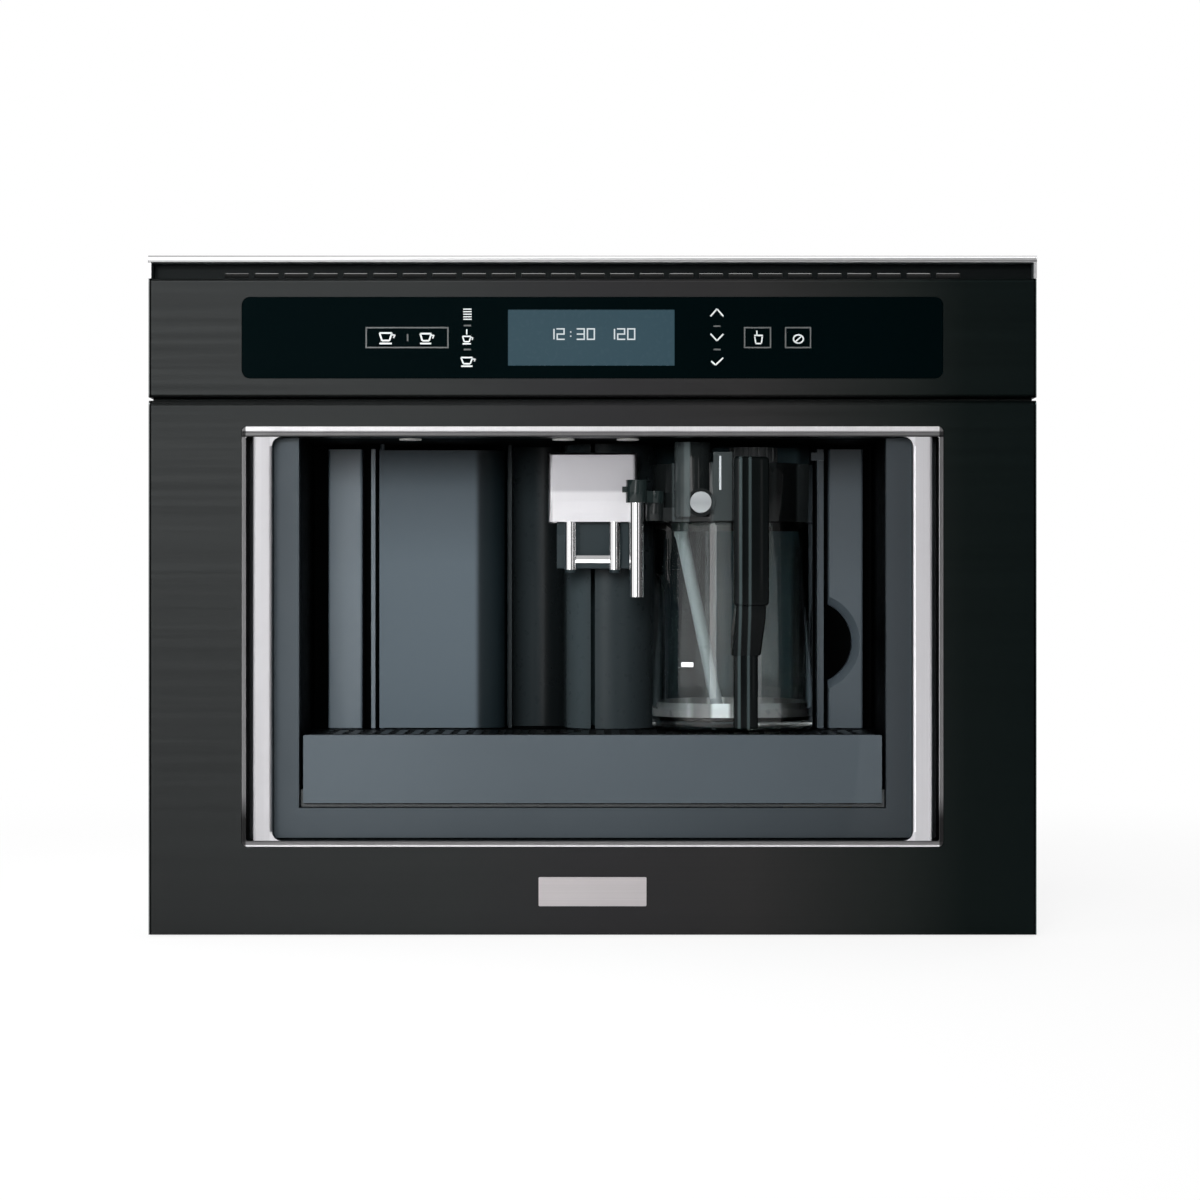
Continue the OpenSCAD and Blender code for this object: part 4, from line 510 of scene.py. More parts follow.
# Black steel: its bare edge, and its tones as (place in mm, tone), mostly painted light: falling off to the
# right over the width, painted highlights and shade at the sides and the fascias' edges, darker low down, and
# on what is folded back
STEEL_EDGE = (0.92, 0.99, 1.0)
STEEL_DULL = (-202.4 * MM, -202 * MM)
STEEL_FALLS = (
    ("X", ((-286, 0.637), (-196, 0.714), (-95, 0.84), (5, (0.905, 0.845, 0.88)), (105, (1, 0.923, 0.923)),
           (206, (0.536, 0.595, 0.565)), (250, (0.238, 0.327, 0.315)), (297, (0.202, 0.298, 0.292)))),
    ("X", ((294.5, 0.145), (295.3, 0.17), (295.6, 0), (296.5, 0), (296.8, 1), (297.6, 1)), True),
    ("Z", ((60, 0.8), (345, 1))),
    ("Z", ((354.8, 0.5), (355.2, 1), (356.2, 1), (356.7, 0.6), (358.4, 0.6), (360, 0.1), (361.6, 0.2),
           (362.2, 0.5))),
    ("Z", ((437.2, 0.65), (437.7, 1), (439.4, 1), (439.6, 0.65))),
    ("Y", ((-202.4, 1), (-202, 0.1))))
# The niche's grey paint. Its parts take lighter and darker copies of it as painted light: the door and back
# strips lighter, the tray and surround darker
NICHE_GREY = (0.024, 0.031, 0.0365)
# painted shade: darker behind the front face, on the sides and in the gaps
PAINTED_SHADE_BEHIND_FRONT = ("Y", ((-203.4, 1), (-202.2, 0.05)))     # for what is bright in front and dark behind
# The bright frame, as painted highlights and shade: on its lower and upper band, on its upright lips, darker
# at its left than its right, and dark over its depth
BEZEL_FALLS = (
    ("Z", ((58.9, 0.6), (59.1, 1), (60.1, 1), (60.5, 0.24), (62.3, 0.2), (62.8, 0.1), (64, 0.12), (78, 0.12),
           (95, 1))),
    ("Z", ((333.4, 1), (333.5, 0.04), (334.2, 0.06), (334.8, 0.22), (336.9, 0.22), (337.4, 0.8), (338.2, 1),
           (340.4, 1), (340.7, 0.9))),
    ("X", ((231.4, 1), (232, 1), (232.3, 0.21), (234.3, 0.21), (234.6, 0.4), (235.2, 0.4)), True),
    ("X", ((-232, 0.7), (0, 0.85), (232, 1))),
    PAINTED_SHADE_BEHIND_FRONT)
# The grip bars, as painted highlights and shade: lighter on their rounded sides, darker at the left than the
# right, and dark over their depth
BAR_FALLS = (
    ("X", ((214.4, 1), (215.6, 1), (216.4, 0.85), (226, 0.85), (226.8, 1), (228, 1)), True),
    ("X", ((-214, 0.66), (214, 1))),
    PAINTED_SHADE_BEHIND_FRONT)
# The niche's liner: painted shade that darkens its walls against its back, and on the back behind the carafe
# painted reflections of what the glass mirrors
LINER_FALLS = (
    ("Y", ((-204, 0.02), (-60, 0.01), (-44, 1))),
    ("X", ((40, 0.22), (86, 0.22), (88, 0.9), (93, 1), (100, 0.9), (102, 0.35), (120, 0.35), (131, 0.8),
           (146, 0.8), (150, 0.15))))
# The column: painted shade in the trough that the spout slides in, with a painted reflection of the carafe in
# it, and on the round front beside it a painted highlight that falls off to the right
COLUMN_FALL = ("X", ((-60, 0.1), (-56, 0.4), (-40, 0.35), (-34, 0.1), (-21, 0.08), (-18, 1), (-8, 0.95),
                     (0, 0.58), (44, 0.34)))
# The surround: a painted highlight on its rounded outer edges, and painted shade that darkens it towards its
# right
SURROUND_FALLS = (("X", ((211.6, 0.78), (213, 0.82), (213.8, 1), (215.4, 1)), True),
                  ("X", ((-215, 0.92), (0, 1), (215, 0.64))))
# The back strips: painted shade, darker to the right of the middle and towards the top under the ceiling
STRIP_FALLS = (("X", ((0, 1), (20, 0.75))), ("Z", ((240, 1), (330, 0.7))))
# The carafe's glass: painted shade on its foot, and painted reflections over its width. Then the pale band in
# its foot, with painted highlights across its width.
VESSEL_FALLS = (
    ("Z", ((134, 0.2), (138.5, 0.3), (141, 1))),
    ("X", ((45, 0.93), (66, 0.93), (69, 0.87), (80, 0.87), (84, 0.97), (94, 1), (96, 0.93), (118, 0.96),
           (140, 1))))
FOOT_FALL = ("X", ((54, 0.18), (64, 0.3), (66, 0.5), (70, 0.12), (80, 0.12), (82, 1), (92, 1), (94, 0.1),
                   (109, 0.1), (111, 0.25), (127, 0.2), (130, 0.05)))
# The handle: painted highlights along the rounded sides of its grip, dark between
HANDLE_FALL = ("X", ((93, 0.1), (98, 0.1), (98.8, 1), (99.9, 1), (100.7, 0.05), (104.4, 0.08), (105.2, 0.9),
                     (106.2, 0.9), (107, 0.06), (112.6, 0.06), (113.8, 0.06), (118.8, 0.08), (119.5, 0.7),
                     (121, 0.7)))
# The lid's smoked plastic, with painted highlights in upright bands over its width
LID_FALL = ("X", ((40, 0.12), (54, 0.12), (55, 0.6), (61.5, 0.5), (62.4, 1), (65.4, 1), (66.5, 0.1),
                  (80, 0.12), (81.5, 0.55), (94, 0.45), (95.5, 0.06), (124, 0.12), (126, 0.03), (139, 0.03),
                  (141, 0.2), (150, 0.2)))
finishes = {
    "rail_steel": galvanised("rail_zinc", (0.62, 0.63, 0.64), 0.32),
    "zinc_sheet": galvanised("zinc_sheet", (0.58, 0.59, 0.6), 0.4),
    "black_steel": brushed("black_steel", STEEL_EDGE, 0.38, depth_of_lines=0.000003, contrast=0.03,
                           falls=STEEL_FALLS, dull=STEEL_DULL, Specular_IOR_Level=0.03),
    "trim_silver": trim_metal("trim_silver"),
    "panel_glass": glossy("panel_glass", (0.0001, 0.001, 0.0012), 0.04, Specular_IOR_Level=0.02),
    "display": lit_display("lit_display"),
    "bezel_chrome": brushed("bezel_satin", (0.95, 0.94, 0.96), 0.42, "Z", contrast=0.04, falls=BEZEL_FALLS),
    "liner_black": coated("liner_black", (0.05, 0.08, 0.09), 0.6, falls=LINER_FALLS, Specular_IOR_Level=0.02),
    "gloss_black": glossy("gloss_black", (0.004, 0.0065, 0.0065), 0.09, Specular_IOR_Level=0.3),
    "lamp_lens": moulded("lamp_lens", (0.5, 0.5, 0.48), 0.3),
    "black_plastic": moulded("black_plastic", (0.022, 0.024, 0.025), 0.48),
    "ivory_plastic": moulded("ivory_plastic", (0.62, 0.6, 0.54), 0.45),
    "orange_plastic": moulded("orange_plastic", (0.65, 0.2, 0.03), 0.4),
    "motor_grey": cast("motor_grey", (0.22, 0.22, 0.23), 0.5, 0.6),
    "pump_brass": cast("pump_brass", (0.6, 0.45, 0.2), 0.35),
    "boiler_metal": cast("boiler_metal", (0.6, 0.61, 0.62), 0.42),
    "board_green": circuit("board_green"),
    "hose_white": glossy("hose_white", (0.7, 0.7, 0.68), 0.3),
    # painted light: the door's grey is a lighter copy of the niche's
    "door_grey": door_paint("door_grey", shade(NICHE_GREY, 1.05)),
    "grille_steel": brushed("grille_steel", (0.017, 0.02, 0.021), 0.35),
    "float_red": glossy("float_red", (0.6, 0.03, 0.02), 0.2),
    "spout_silver": spout_metal("spout_silver"),
    "chrome": polished("chrome", (0.88, 0.88, 0.89), 0.07),
    "clear_glass": clear("clear_glass", (0.82, 0.93, 0.94)),
    "tank_clear": clear("tank_clear", (0.8, 0.86, 0.88), 0.12),
}

# Nodes with a finish of their own, which keep the slot that the record gives them
own_finishes = {
    "column_cover": coated("column_black", (0.018, 0.024, 0.0265), 0.3, falls=(COLUMN_FALL,),
                           Specular_IOR_Level=0.1),
    "milk_intake_tube": glossy("intake_tube", (0.24, 0.27, 0.28), 0.3, Specular_IOR_Level=0.3),
    # painted light: the tray, surround and back strips take darker and lighter copies of the niche's grey
    "drip_front": coated("tray_grey", shade(NICHE_GREY, 0.95), 0.42, Specular_IOR_Level=0.3),
    "niche_surround": coated("surround_grey", shade(NICHE_GREY, 0.85), 0.42, falls=SURROUND_FALLS,
                             Specular_IOR_Level=0.25),
    "back_strips": coated("strip_grey", shade(NICHE_GREY, 1.35), 0.4, falls=STRIP_FALLS),
    # painted shade: a darker band across the middle of the button
    "clean_button": glossy("button_white", (0.15, 0.16, 0.165), 0.3, Specular_IOR_Level=0.3,
                           falls=(("Z", ((284, 1), (290, 0.75), (297, 1))),)),
    "carafe_lid": glossy("smoked_lid", (0.03, 0.037, 0.038), 0.1, falls=(LID_FALL,), Specular_IOR_Level=0.25),
    "spout_core": glossy("core_black", (0.007, 0.0105, 0.012), 0.3, Specular_IOR_Level=0.15),
    "nameplate": brushed("plate_silver", (0.54, 0.51, 0.52), 0.35, contrast=0.05),
    "grip_bars": brushed("bar_satin", (0.85, 0.84, 0.87), 0.45, "Z", contrast=0.04, falls=BAR_FALLS),
    # painted shade: the front frame is coated near black so that the gaps in front of it look dark
    "front_frame": coated("frame_shade_black", (0.006, 0.0065, 0.007), 0.5, Specular_IOR_Level=0.1),
}
SOFTENED = ("spout_block", "carafe_lid", "carafe_handle", "control_fascia", "lower_fascia", "drip_front",
            "niche_surround", "back_strips", "grip_bars", "bezel_frame", "nameplate", "top_trim",
            "clean_button", "milk_spout_arm")


def dress(node, finish):
    """Gives a CAD node one finish."""
    mesh = frame["nodes"][node].data
    mesh.materials.clear()
    mesh.materials.append(finish)


def soften(node, width=0.4 * MM, angle=40, reach=0.02 * MM):
    """Rounds the sharp edges of a CAD node, after its loose triangles are joined."""
    thing = frame["nodes"][node]
    join = thing.modifiers.new("join", "WELD")
    join.merge_threshold = reach
    bevel = thing.modifiers.new("soft_edges", "BEVEL")
    bevel.width = width
    bevel.segments = 2
    bevel.limit_method = "ANGLE"
    bevel.angle_limit = math.radians(angle)
    bevel.harden_normals = True


for part in frame["record"]["subparts"]:
    dress(part["node"], own_finishes.get(part["node"]) or finishes[part["material_slot"]])
for node in SOFTENED:
    soften(node)


# Meshes: each is a grid of points, worked out as whole arrays in millimetres

def quads(rows, cols, loop=True):
    """Faces of a grid: each joins a point with its neighbours in the next row and column. In a loop the last
    column joins the first."""
    r, c = np.arange(rows - 1)[:, None], np.arange(cols if loop else cols - 1)[None, :]
    near, far = r * cols, (r + 1) * cols
    ahead = (c + 1) % cols
    return np.stack([near + c, near + ahead, far + ahead, far + c], -1).reshape(-1, 4)


def piece(name, points, faces, finish, body, slot, replaced=(), sharp=35):
    """A mesh that rides on a body, with the points that coincide joined and its edges sharp over an angle."""
    mesh = bpy.data.meshes.new(name)
    mesh.from_pydata(np.asarray(points).reshape(-1, 3).tolist(), [], np.asarray(faces).tolist())
    work = bmesh.new()
    work.from_mesh(mesh)
    bmesh.ops.remove_doubles(work, verts=work.verts, dist=1e-7)
    work.to_mesh(mesh)
    work.free()
    mesh.shade_smooth()
    mesh.set_sharp_from_angle(angle=math.radians(sharp))
    mesh.materials.append(finish)
    thing = bpy.data.objects.new(name, mesh)
    bpy.context.collection.objects.link(thing)
    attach(thing, body)
    if replaced:
        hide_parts(*replaced)


def joined(*grids):
    """Several (points, faces) as one."""
    points, faces, start = [], [], 0
    for p, f in grids:
        p = np.asarray(p).reshape(-1, 3)
        points.append(p)
        faces.append(np.asarray(f) + start)
        start += len(p)
    return np.concatenate(points), np.concatenate(faces)


def turned_front(profile, x, z, around=32):
    """A profile (r, depth) turned about an axis that runs back to front at (x, z): the point at angle t is
    (x + r cos t, depth, z + r sin t). On the outside the profile runs forwards."""
    r, d = np.asarray(profile, float).T
    t = np.linspace(0, 2 * np.pi, around, endpoint=False)
    return spot(x + r[:, None] * np.cos(t), d[:, None], z + r[:, None] * np.sin(t)), quads(len(r), around)


def oval(profile, around=48):
    """A profile (r, z) carried round the carafe's oval: two half circles of radius r, set apart by a straight
    part, so the point at angle t is (x + r cos t + flat on the right or - flat on the left, d + r sin t, z).
    The profile runs upwards on the outside."""
    r, z = np.asarray(profile, float).T
    half = np.linspace(-np.pi / 2, np.pi / 2, around)
    t = np.concatenate([half, half + np.pi])
    apart = np.repeat([CARAFE_FLAT, -CARAFE_FLAT], around) * (r[:, None] > 0)
    points = spot(CARAFE[0] + apart + r[:, None] * np.cos(t), CARAFE[1] + r[:, None] * np.sin(t), z[:, None])
    return points, quads(len(r), 2 * around)


def arc(centre, radius, start, end, steps):
    """Points of an arc between two angles in degrees, for a profile."""
    t = np.radians(np.linspace(start, end, steps))
    return [(centre[0] + radius * math.cos(a), centre[1] + radius * math.sin(a)) for a in t]


def strokes(lines, d):
    """Flat strokes on a face seen from the front. Each is (x0, z0, x1, z1, width): four points, half a width
    to either side of the line from end to end."""
    s = np.asarray(lines, float)
    a, b, half = s[:, 0:2], s[:, 2:4], s[:, 4:5] / 2
    way = (b - a) / np.linalg.norm(b - a, axis=1, keepdims=True)
    side = half * np.stack([way[:, 1], -way[:, 0]], -1)
    corners = np.stack([a - side, a + side, b + side, b - side], 1)
    return spot(corners[..., 0], d, corners[..., 1]), np.arange(4 * len(s)).reshape(-1, 4)


def frame_lines(x, z, width):
    """Four strokes round a rectangle."""
    h = width / 2
    return [(x[0] - h, z[0], x[1] + h, z[0], width), (x[1], z[0] + h, x[1], z[1] - h, width),
            (x[1] + h, z[1], x[0] - h, z[1], width), (x[0], z[1] - h, x[0], z[0] + h, width)]


def smooth_path(points, steps=10):
    """A curve through points: between two of them it follows the cubic whose slope at a point is half the way
    from the point before to the point after (Catmull and Rom's)."""
    p = np.asarray(points, float)
    p = np.vstack([2 * p[0] - p[1], p, 2 * p[-1] - p[-2]])
    a, b, c, e = (p[k:len(p) - 3 + k, None] for k in range(4))
    t = np.linspace(0, 1, steps, endpoint=False)[None, :, None]
    curve = 0.5 * (2 * b + (c - a) * t + (2 * a - 5 * b + 4 * c - e) * t ** 2
                   + (3 * b - a - 3 * c + e) * t ** 3)
    return np.vstack([curve.reshape(-1, 3), p[-2]])


def tube(path, radius, around=16):
    """Rings of a radius across a path of (x, d, z), each turned as little as it can be from the one before,
    with a flat cap at both ends: the point at angle t is the path's + radius (cos t across + sin t up)."""
    path = np.asarray(path, float)
    ahead = np.gradient(path, axis=0)
    ahead /= np.linalg.norm(ahead, axis=1, keepdims=True)
    upright = abs(ahead[0][2]) > 0.9
    across = [np.cross(ahead[0], (1, 0, 0) if upright else (0.3, 0.5, 0.8))]
    for way in ahead[1:]:
        across.append(across[-1] - way * np.dot(across[-1], way))
    across = np.array(across)
    across /= np.linalg.norm(across, axis=1, keepdims=True)
    up = np.cross(ahead, across)
    t = np.linspace(0, 2 * np.pi, around, endpoint=False)[None, :, None]
    rings = path[:, None] + radius * (np.cos(t) * across[:, None] + np.sin(t) * up[:, None])
    first, last = (np.broadcast_to(p, (1, around, 3)) for p in (path[0], path[-1]))
    rows = np.vstack([first, rings, last])
    return spot(*np.moveaxis(rows, -1, 0)), quads(len(rows), around)


# Print on the glass, and the digits of the display

PRINT_D = -0.45                         # depth of the print, in front of the glass
BRIGHT_D = -0.46                        # depth of the bright ink, which lies on the dim one
FRAMED_KEYS = ((-151.5, -96.8), (101.8, 119.1), (129.2, 145.9))    # left and right edge of each
FRAME_ROW = (393.3, 406.6)              # their lower and upper edge
# Ends of the segments of a digit, counted in its width and half its height, and those that each digit lights
SEGMENTS = {"a": (0, 2, 1, 2), "b": (1, 1, 1, 2), "c": (1, 0, 1, 1), "d": (0, 0, 1, 0), "e": (0, 0, 0, 1),
            "f": (0, 1, 0, 2), "g": (0, 1, 1, 1)}
LIT = {"0": "abcdef", "1": "bc", "2": "abdeg", "3": "abcdg"}
COLON_HEIGHTS = (0.3, 0.7)


def ink(name, tone):
    """Printed ink of one tone."""
    return coated(name, (tone, tone * 1.04, tone * 1.05), 0.5, contrast=0.05, Specular_IOR_Level=0.1)


def digits(text, x, z, wide, high, pitch, width):
    """Strokes of seven-segment digits. A colon is two short strokes, a space none."""
    lines = []
    for k, sign in enumerate(text):
        at = x + k * pitch
        for x0, z0, x1, z1 in (SEGMENTS[c] for c in LIT.get(sign, "")):
            over = width / 2 if z0 == z1 else 0
            lines.append((at + x0 * wide - over, z + z0 * high / 2,
                          at + x1 * wide + over, z + z1 * high / 2, width))
        if sign == ":":
            ends = at + wide / 2 - width / 2, at + wide / 2 + width / 2
            lines += [(ends[0], z + h * high, ends[1], z + h * high, width) for h in COLON_HEIGHTS]
    return lines


def cup_sign(x, z, wide, high, width):
    """A cup seen from the side: rim, two sides that lean in, foot, handle and saucer."""
    foot = z + 0.28 * high
    return [(x, z + high, x + 0.8 * wide, z + high, width), (x, z + high, x + 0.16 * wide, foot, width),
            (x + 0.8 * wide, z + high, x + 0.64 * wide, foot, width),
            (x + 0.16 * wide, foot, x + 0.64 * wide, foot, width),
            (x + 0.76 * wide, z + 0.82 * high, x + wide, z + 0.82 * high, width * 0.8),
            (x + wide, z + 0.85 * high, x + 0.9 * wide, z + 0.52 * high, width * 0.8),
            (x, z, x + 0.8 * wide, z, width)]


def ring_sign(x, z, wide, high, width, steps=12):
    """A ring: strokes between points of an ellipse."""
    turn = np.linspace(0, 2 * np.pi, steps + 1)
    px, pz = x + wide / 2 * np.cos(turn), z + high / 2 * np.sin(turn)
    return [(px[k], pz[k], px[k + 1], pz[k + 1], width) for k in range(steps)]


def print_glass():
    """Symbols of the touch keys, in lines of a dim and of a brighter ink, and the digits."""
    dim, bright = [], []
    for x in FRAMED_KEYS:
        dim += frame_lines(x, FRAME_ROW, 0.9)
    # first framed key: two cups with a dash between them
    bright += cup_sign(-142.6, 396, 10.4, 7, 1.1) + cup_sign(-115.4, 396, 9.3, 6.6, 1.1)
    dim += [(-123.8, 397.6, -123.8, 402.3, 1)]
    # left column of keys: bars, cup with steam, wide cup, and dashes between them
    bright += [(-86.6, z, -80.9, z, 0.7) for z in (412.2, 413.9, 415.6, 417.3, 419)]
    bright += cup_sign(-87, 395.8, 7, 5, 0.9) + [(-84.2, 402, -84.2, 405.6, 0.8)]
    bright += cup_sign(-88, 380.8, 9.6, 5.8, 1)
    dim += [(-86.2, z, -81.4, z, 1) for z in (408, 392)]
    # right column of keys: up, down, a tick, and dashes between them
    for tip, foot in ((419.2, 414.2), (397.8, 402.4)):
        bright += [(79, foot, 83.3, tip, 1), (83.3, tip, 87.6, foot, 1)]
    bright += [(79.4, 384.2, 82.4, 381.6, 1), (82.4, 381.6, 87.4, 386.4, 1)]
    dim += [(80.9, z, 85.7, z, 1) for z in (407.6, 392)]
    # second framed key: a measure with a line over it and a stroke above
    bright += [(108.2, 401.4, 114, 401.4, 1), (110, 404.6, 110, 401.6, 0.8),
               (108.6, 400.6, 109.2, 396.2, 0.9), (113.6, 400.6, 113, 396.2, 0.9),
               (109.2, 396, 113, 396, 0.9)]
    # third framed key: a bean
    bright += ring_sign(137.8, 399, 6.8, 5.6, 1) + [(136, 397.4, 139.6, 400.6, 0.9)]
    piece("dim_signs", *strokes(dim, PRINT_D), ink("dim_print", 0.05), "machine", "white_plastic")
    piece("bright_signs", *strokes(bright, BRIGHT_D), ink("bright_print", 0.3), "machine", "white_plastic")
    lines = digits("12:30 120", -30.4, 398.8, wide=4.6, high=7, pitch=6.75, width=0.9)
    shine = Finish("lit_digits", (0.02, 0.02, 0.02), 0.4, Emission_Strength=1.0)
    shine.tint(shine.pattern((90, 90, 90), 2.0), (0.5, 0.56, 0.6), (0.62, 0.68, 0.7), "Emission Color")
    piece("display_digits", *strokes(lines, PRINT_D), shine.material, "machine", "display")


# Carafe

GLASS_WALL = 2.5
GLASS_TOP = NICHE_FLOOR + 143.2
FOOT_BAND = (NICHE_FLOOR + 9.8, NICHE_FLOOR + 19.4)     # heights of the pale band inside the foot
HANDLE_TURN = 7.6                                       # degrees that the handle is turned from the front


def on_glass(turn, z, out=0.2, steps=12):
    """A patch on the left round end of the carafe's glass, between two angles in degrees and two heights."""
    t = np.radians(np.linspace(*turn, steps))
    x = CARAFE[0] - CARAFE_FLAT + (GLASS_R + out) * np.cos(t)
    d = CARAFE[1] + (GLASS_R + out) * np.sin(t)
    return np.stack([spot(x, d, np.full(steps, h)) for h in z]), quads(2, steps, loop=False)


def build_carafe():
    """The glass with its thick foot, rounded rim and dished floor, the pale band inside its foot and the mark
    for the least filling."""
    z, top, r, bore = NICHE_FLOOR, GLASS_TOP, GLASS_R, GLASS_R - GLASS_WALL
    outside = [(0, z + 0.9), (r - 7, z + 0.9), (r - 6, z), (r - 4, z), *arc((r - 4, z + 4), 4, -90, 0, 8),
               (r, top - 0.8), (r - 0.3, top - 0.2), (r - 0.8, top)]
    inside = [(bore + 0.7, top), (bore + 0.2, top - 0.3), (bore, top - 0.8), (bore, z + 17),
              *arc((bore - 10, z + 17), 10, 0, -90, 10), (20, z + 6.6), (0, z + 6.4)]
    glass = clear("vessel_glass", (0.93, 1, 1), falls=VESSEL_FALLS)
    piece("carafe_vessel", *oval(outside + inside), glass, "carafe", "clear_glass", ["carafe_glass"])
    low, high = FOOT_BAND
    inset = ((0.9, low), (0.2, low), (0.2, high), (0.9, high), (0.9, low))
    band = [(bore - gap, h) for gap, h in inset]
    pale = coated("foot_band", (0.6, 0.62, 0.63), 0.3, falls=(FOOT_FALL,))
    piece("foot_band", *oval(band), pale, "carafe", "white_plastic")
    mark = on_glass((232, 243), (178.6, 181.8))
    piece("filling_mark", *mark, ink("filling_print", 0.5), "carafe", "white_plastic")


def loft(rows):
    """A closed skin over rows of points that all have the same number, with a flat cap at each end."""
    rows = np.asarray(rows, float)
    ends = [np.broadcast_to(r.mean(0), r.shape) for r in (rows[0], rows[-1])]
    rows = np.stack([ends[0], *rows, ends[1]])
    return rows, quads(len(rows), rows.shape[1])


def prism(outline, half, edge):
    """An outline of (depth from the carafe's middle, height), swept from -half to half along the handle's own
    X. Its rim is rounded: at either end the outline draws in towards its middle along a quarter circle."""
    p = np.asarray(outline, float)
    middle = p.mean(0)
    reach = np.linalg.norm(p - middle, axis=1, keepdims=True)
    rows = []
    for side, turn in ((-1, np.linspace(0, 90, 5)), (1, np.linspace(112.5, 180, 4))):
        for t in np.radians(turn):
            flat = middle + (p - middle) * (1 - edge * (1 - math.sin(t)) / reach)
            x = side * (half - edge) - edge * math.cos(t)
            rows.append(np.column_stack([np.full(len(p), x), flat]))
    return loft(rows)


def on_handle(points):
    """Turns points about the middle of the carafe by the handle's angle: x is across, d behind the middle."""
    turn = math.radians(HANDLE_TURN)
    x, d, z = np.moveaxis(np.asarray(points, float), -1, 0)
    return spot(CARAFE[0] + x * math.cos(turn) - d * math.sin(turn),
                CARAFE[1] + x * math.sin(turn) + d * math.cos(turn), z)


def bar_rows(half, front, back, z, edge, square=0.55, around=40):
    """An upright bar of the handle: its section is the superellipse whose |x / half| and |y / depth| are the
    cosine and the sine of the angle to a power, and it draws in by the edge at both ends along a quarter
    circle."""
    t = np.linspace(0, 2 * np.pi, around, endpoint=False)
    x = np.sign(np.cos(t)) * np.abs(np.cos(t)) ** square
    y = np.sign(np.sin(t)) * np.abs(np.sin(t)) ** square
    middle, depth = (front + back) / 2, (back - front) / 2
    rows = []
    for end, way in ((z[0], 1), (z[1], -1)):
        for a in np.linspace(0, np.pi / 2, 6)[::way]:
            draw = edge * (1 - math.sin(a))
            height = np.full(around, end + way * edge * (1 - math.cos(a)))
            rows.append(np.column_stack([(half - draw) * x, middle + (depth - draw) * y, height]))
    return loft(rows)


def build_handle():
    """Grip, arm to the collar, slanted return and rib, all turned about the carafe."""
    grip = bar_rows(12, -78, -68, (220.3, 320.8), 2.5)
    arm = prism([(-70, 300.8), (-50.3, 302.8), (-50.3, 317.8), (-70, 320.3)], 8.4, 1.5)
    slant = prism([(-75, 221.3), (-68, 224.3), (-50.3, 202.3), (-50.3, 186.3), (-55, 186.3), (-75, 214.3)],
                  10, 1.8)
    rib = bar_rows(8.3, -55, -50.2, (136.8, 198.8), 1.2)
    points, faces = joined(grip, arm, slant, rib)
    black = glossy("handle_black", (0.02, 0.027, 0.028), 0.12, falls=(HANDLE_FALL,), Specular_IOR_Level=0.07)
    piece("carafe_grip", on_handle(points), faces, black, "carafe", "black_plastic", ["carafe_handle"],
          sharp=50)


# Hoses, screw heads, a dark strip of painted shade, and two small bars that are painted highlights

HOSE_R = 3
# Each hose from fitting to fitting, with the points that it bends at
HOSES = {
    "tank to pump": [(196, 236, 278), (196, 236, 253), (223.15, 258, 170), (225.3, 330, 62),
                     (200.3, 330, 62)],
    "pump to coffee boiler": [(111.7, 330, 62), (86.7, 330, 62), (57, 330, 125), (57, 317.5, 250),
                              (0, 260, 283.3), (0, 260, 258.3)],
    "steam boiler to steam connector": [(90, 260, 278.3), (90, 260, 303.3), (97, 202.3, 299.8),
                                        (97, 177.3, 299.8)],
    "coffee boiler to brewing unit": [(0, 219.7, 180), (0, 194.7, 180), (-36.7, 190, 300), (-61.7, 190, 300)],
}
# The back of the housing, and where its screws are
HOUSING_BACK = 406
SCREW_X, SCREW_Z = (-260, 260), (60, 240, 410)
# the dark strip that puts painted shade in the gap between the fascias: where it lies along x, and its
# section
SHADE_STRIP_X = (-296, -100, 100, 296)
SHADE_STRIP_FRONT, SHADE_STRIP_R = (14.5, 359), 0.97  # middle (depth, height) and radius of its round front
SHADE_STRIP_BACK = 17


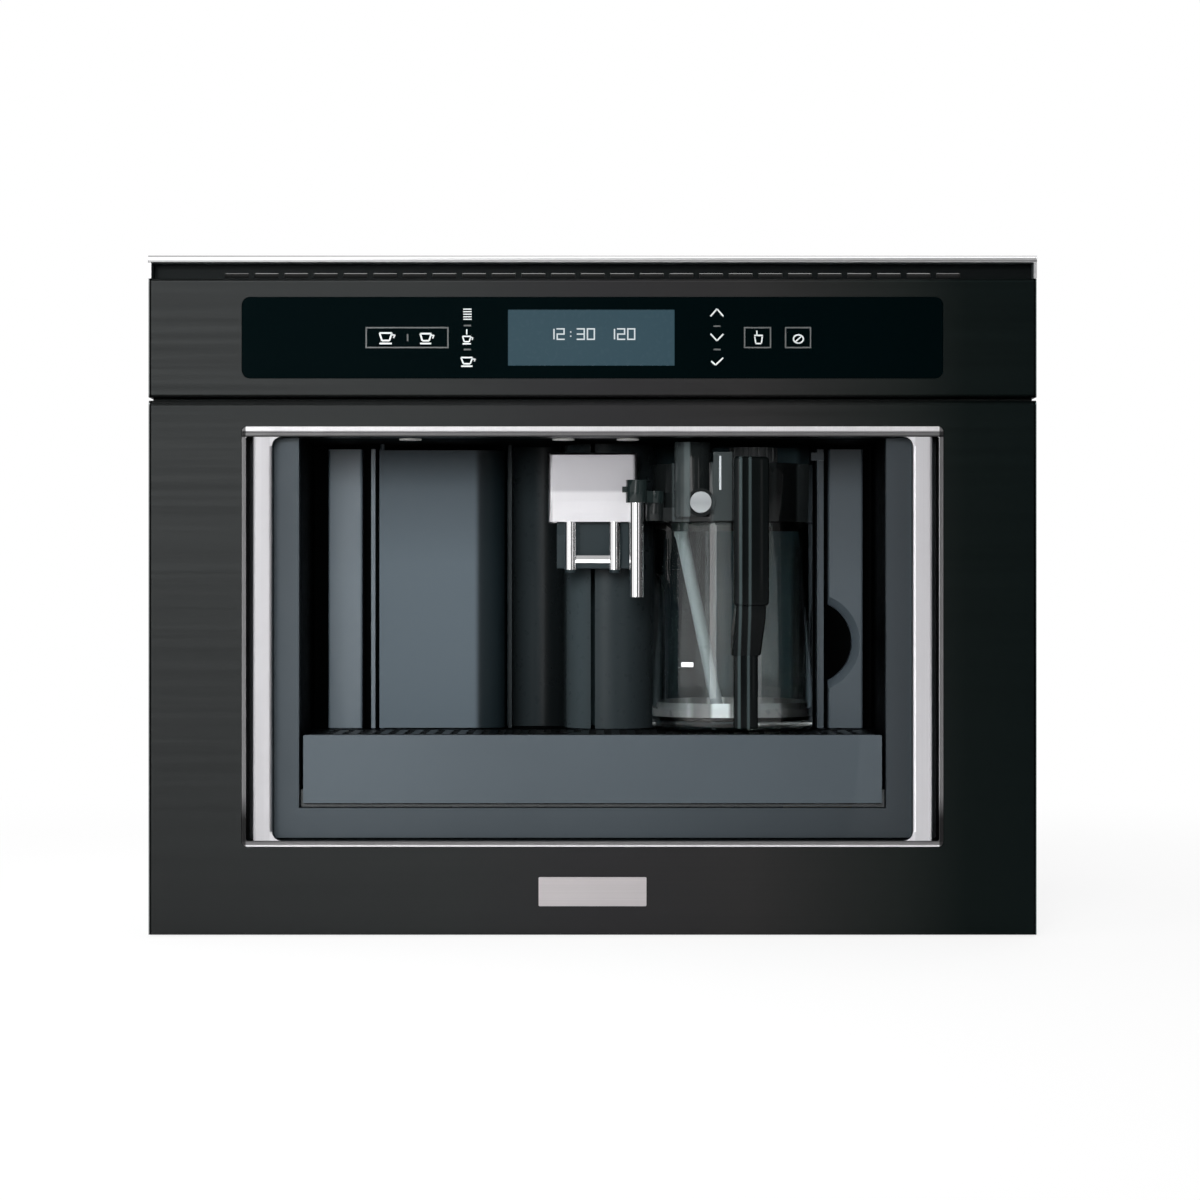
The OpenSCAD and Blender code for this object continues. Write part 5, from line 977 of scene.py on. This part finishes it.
def build_hoses():
    """One tube along a smooth curve for each hose, from one fitting to the next."""
    points, faces = joined(*(tube(smooth_path(route), HOSE_R) for route in HOSES.values()))
    piece("smooth_hoses", points, faces, finishes["hose_white"], "machine", "hose_white", ["hoses"])


def build_screws():
    """Domed heads with a round socket, on the back of the housing."""
    head = [(0, 1), (1.2, 1), (1.35, 1.7), (1.8, 1.8), (2.6, 1.5), (3.1, 0.8), (3.2, 0), (0, 0)]
    profile = [(r, HOUSING_BACK + out) for r, out in head]
    points, faces = joined(*(turned_front(profile, x, z) for x in SCREW_X for z in SCREW_Z))
    zinc = polished("screw_zinc", (0.6, 0.6, 0.58), 0.25)
    piece("screw_heads", points, faces, zinc, "machine", "zinc_sheet", ["cover_screws"])


def build_gap_shade_strip():
    """A dark strip in the gap between the two fascias, as painted shade: a flat strip with a round front, so
    that no light comes through.
    """
    section = arc(SHADE_STRIP_FRONT, SHADE_STRIP_R, 90, 270, 10)
    section += [(SHADE_STRIP_BACK, SHADE_STRIP_FRONT[1] - SHADE_STRIP_R), (SHADE_STRIP_BACK, SHADE_STRIP_FRONT[1] + SHADE_STRIP_R)]
    points, faces = loft([[(x, d, z) for d, z in section] for x in SHADE_STRIP_X])
    strip_black = moulded("gap_shade_black", (0.004, 0.005, 0.005), 0.6)
    piece("gap_shade_strip", spot(*np.moveaxis(points, -1, 0)), faces, strip_black, "machine", "black_plastic")


def build_bridge_highlight():
    """A white rod along the bar between the two nozzles of the spout, as a painted highlight on its lower
    front edge.
    """
    white = glossy("bridge_highlight_white", (0.92, 0.92, 0.93), 0.3)
    piece("nozzle_bridge_highlight", *tube([(x, 65.6, 251.1) for x in (-12.5, 0, 12.5)], 1.3), white, "spout", "chrome")


def build_housing_highlight():
    """An upright grey rod on the front of the carafe's lid, as a painted highlight on its housing's rounded
    corner.
    """
    grey = coated("housing_highlight_grey", (0.25, 0.27, 0.28), 0.3)
    piece("housing_highlight", *tube([(86.6, 26.9, z) for z in (299, 310, 322)], 0.8), grey, "carafe",
          "white_plastic")


for build in (print_glass, build_gap_shade_strip, build_carafe, build_handle, build_hoses, build_screws, build_bridge_highlight,
              build_housing_highlight):
    build()
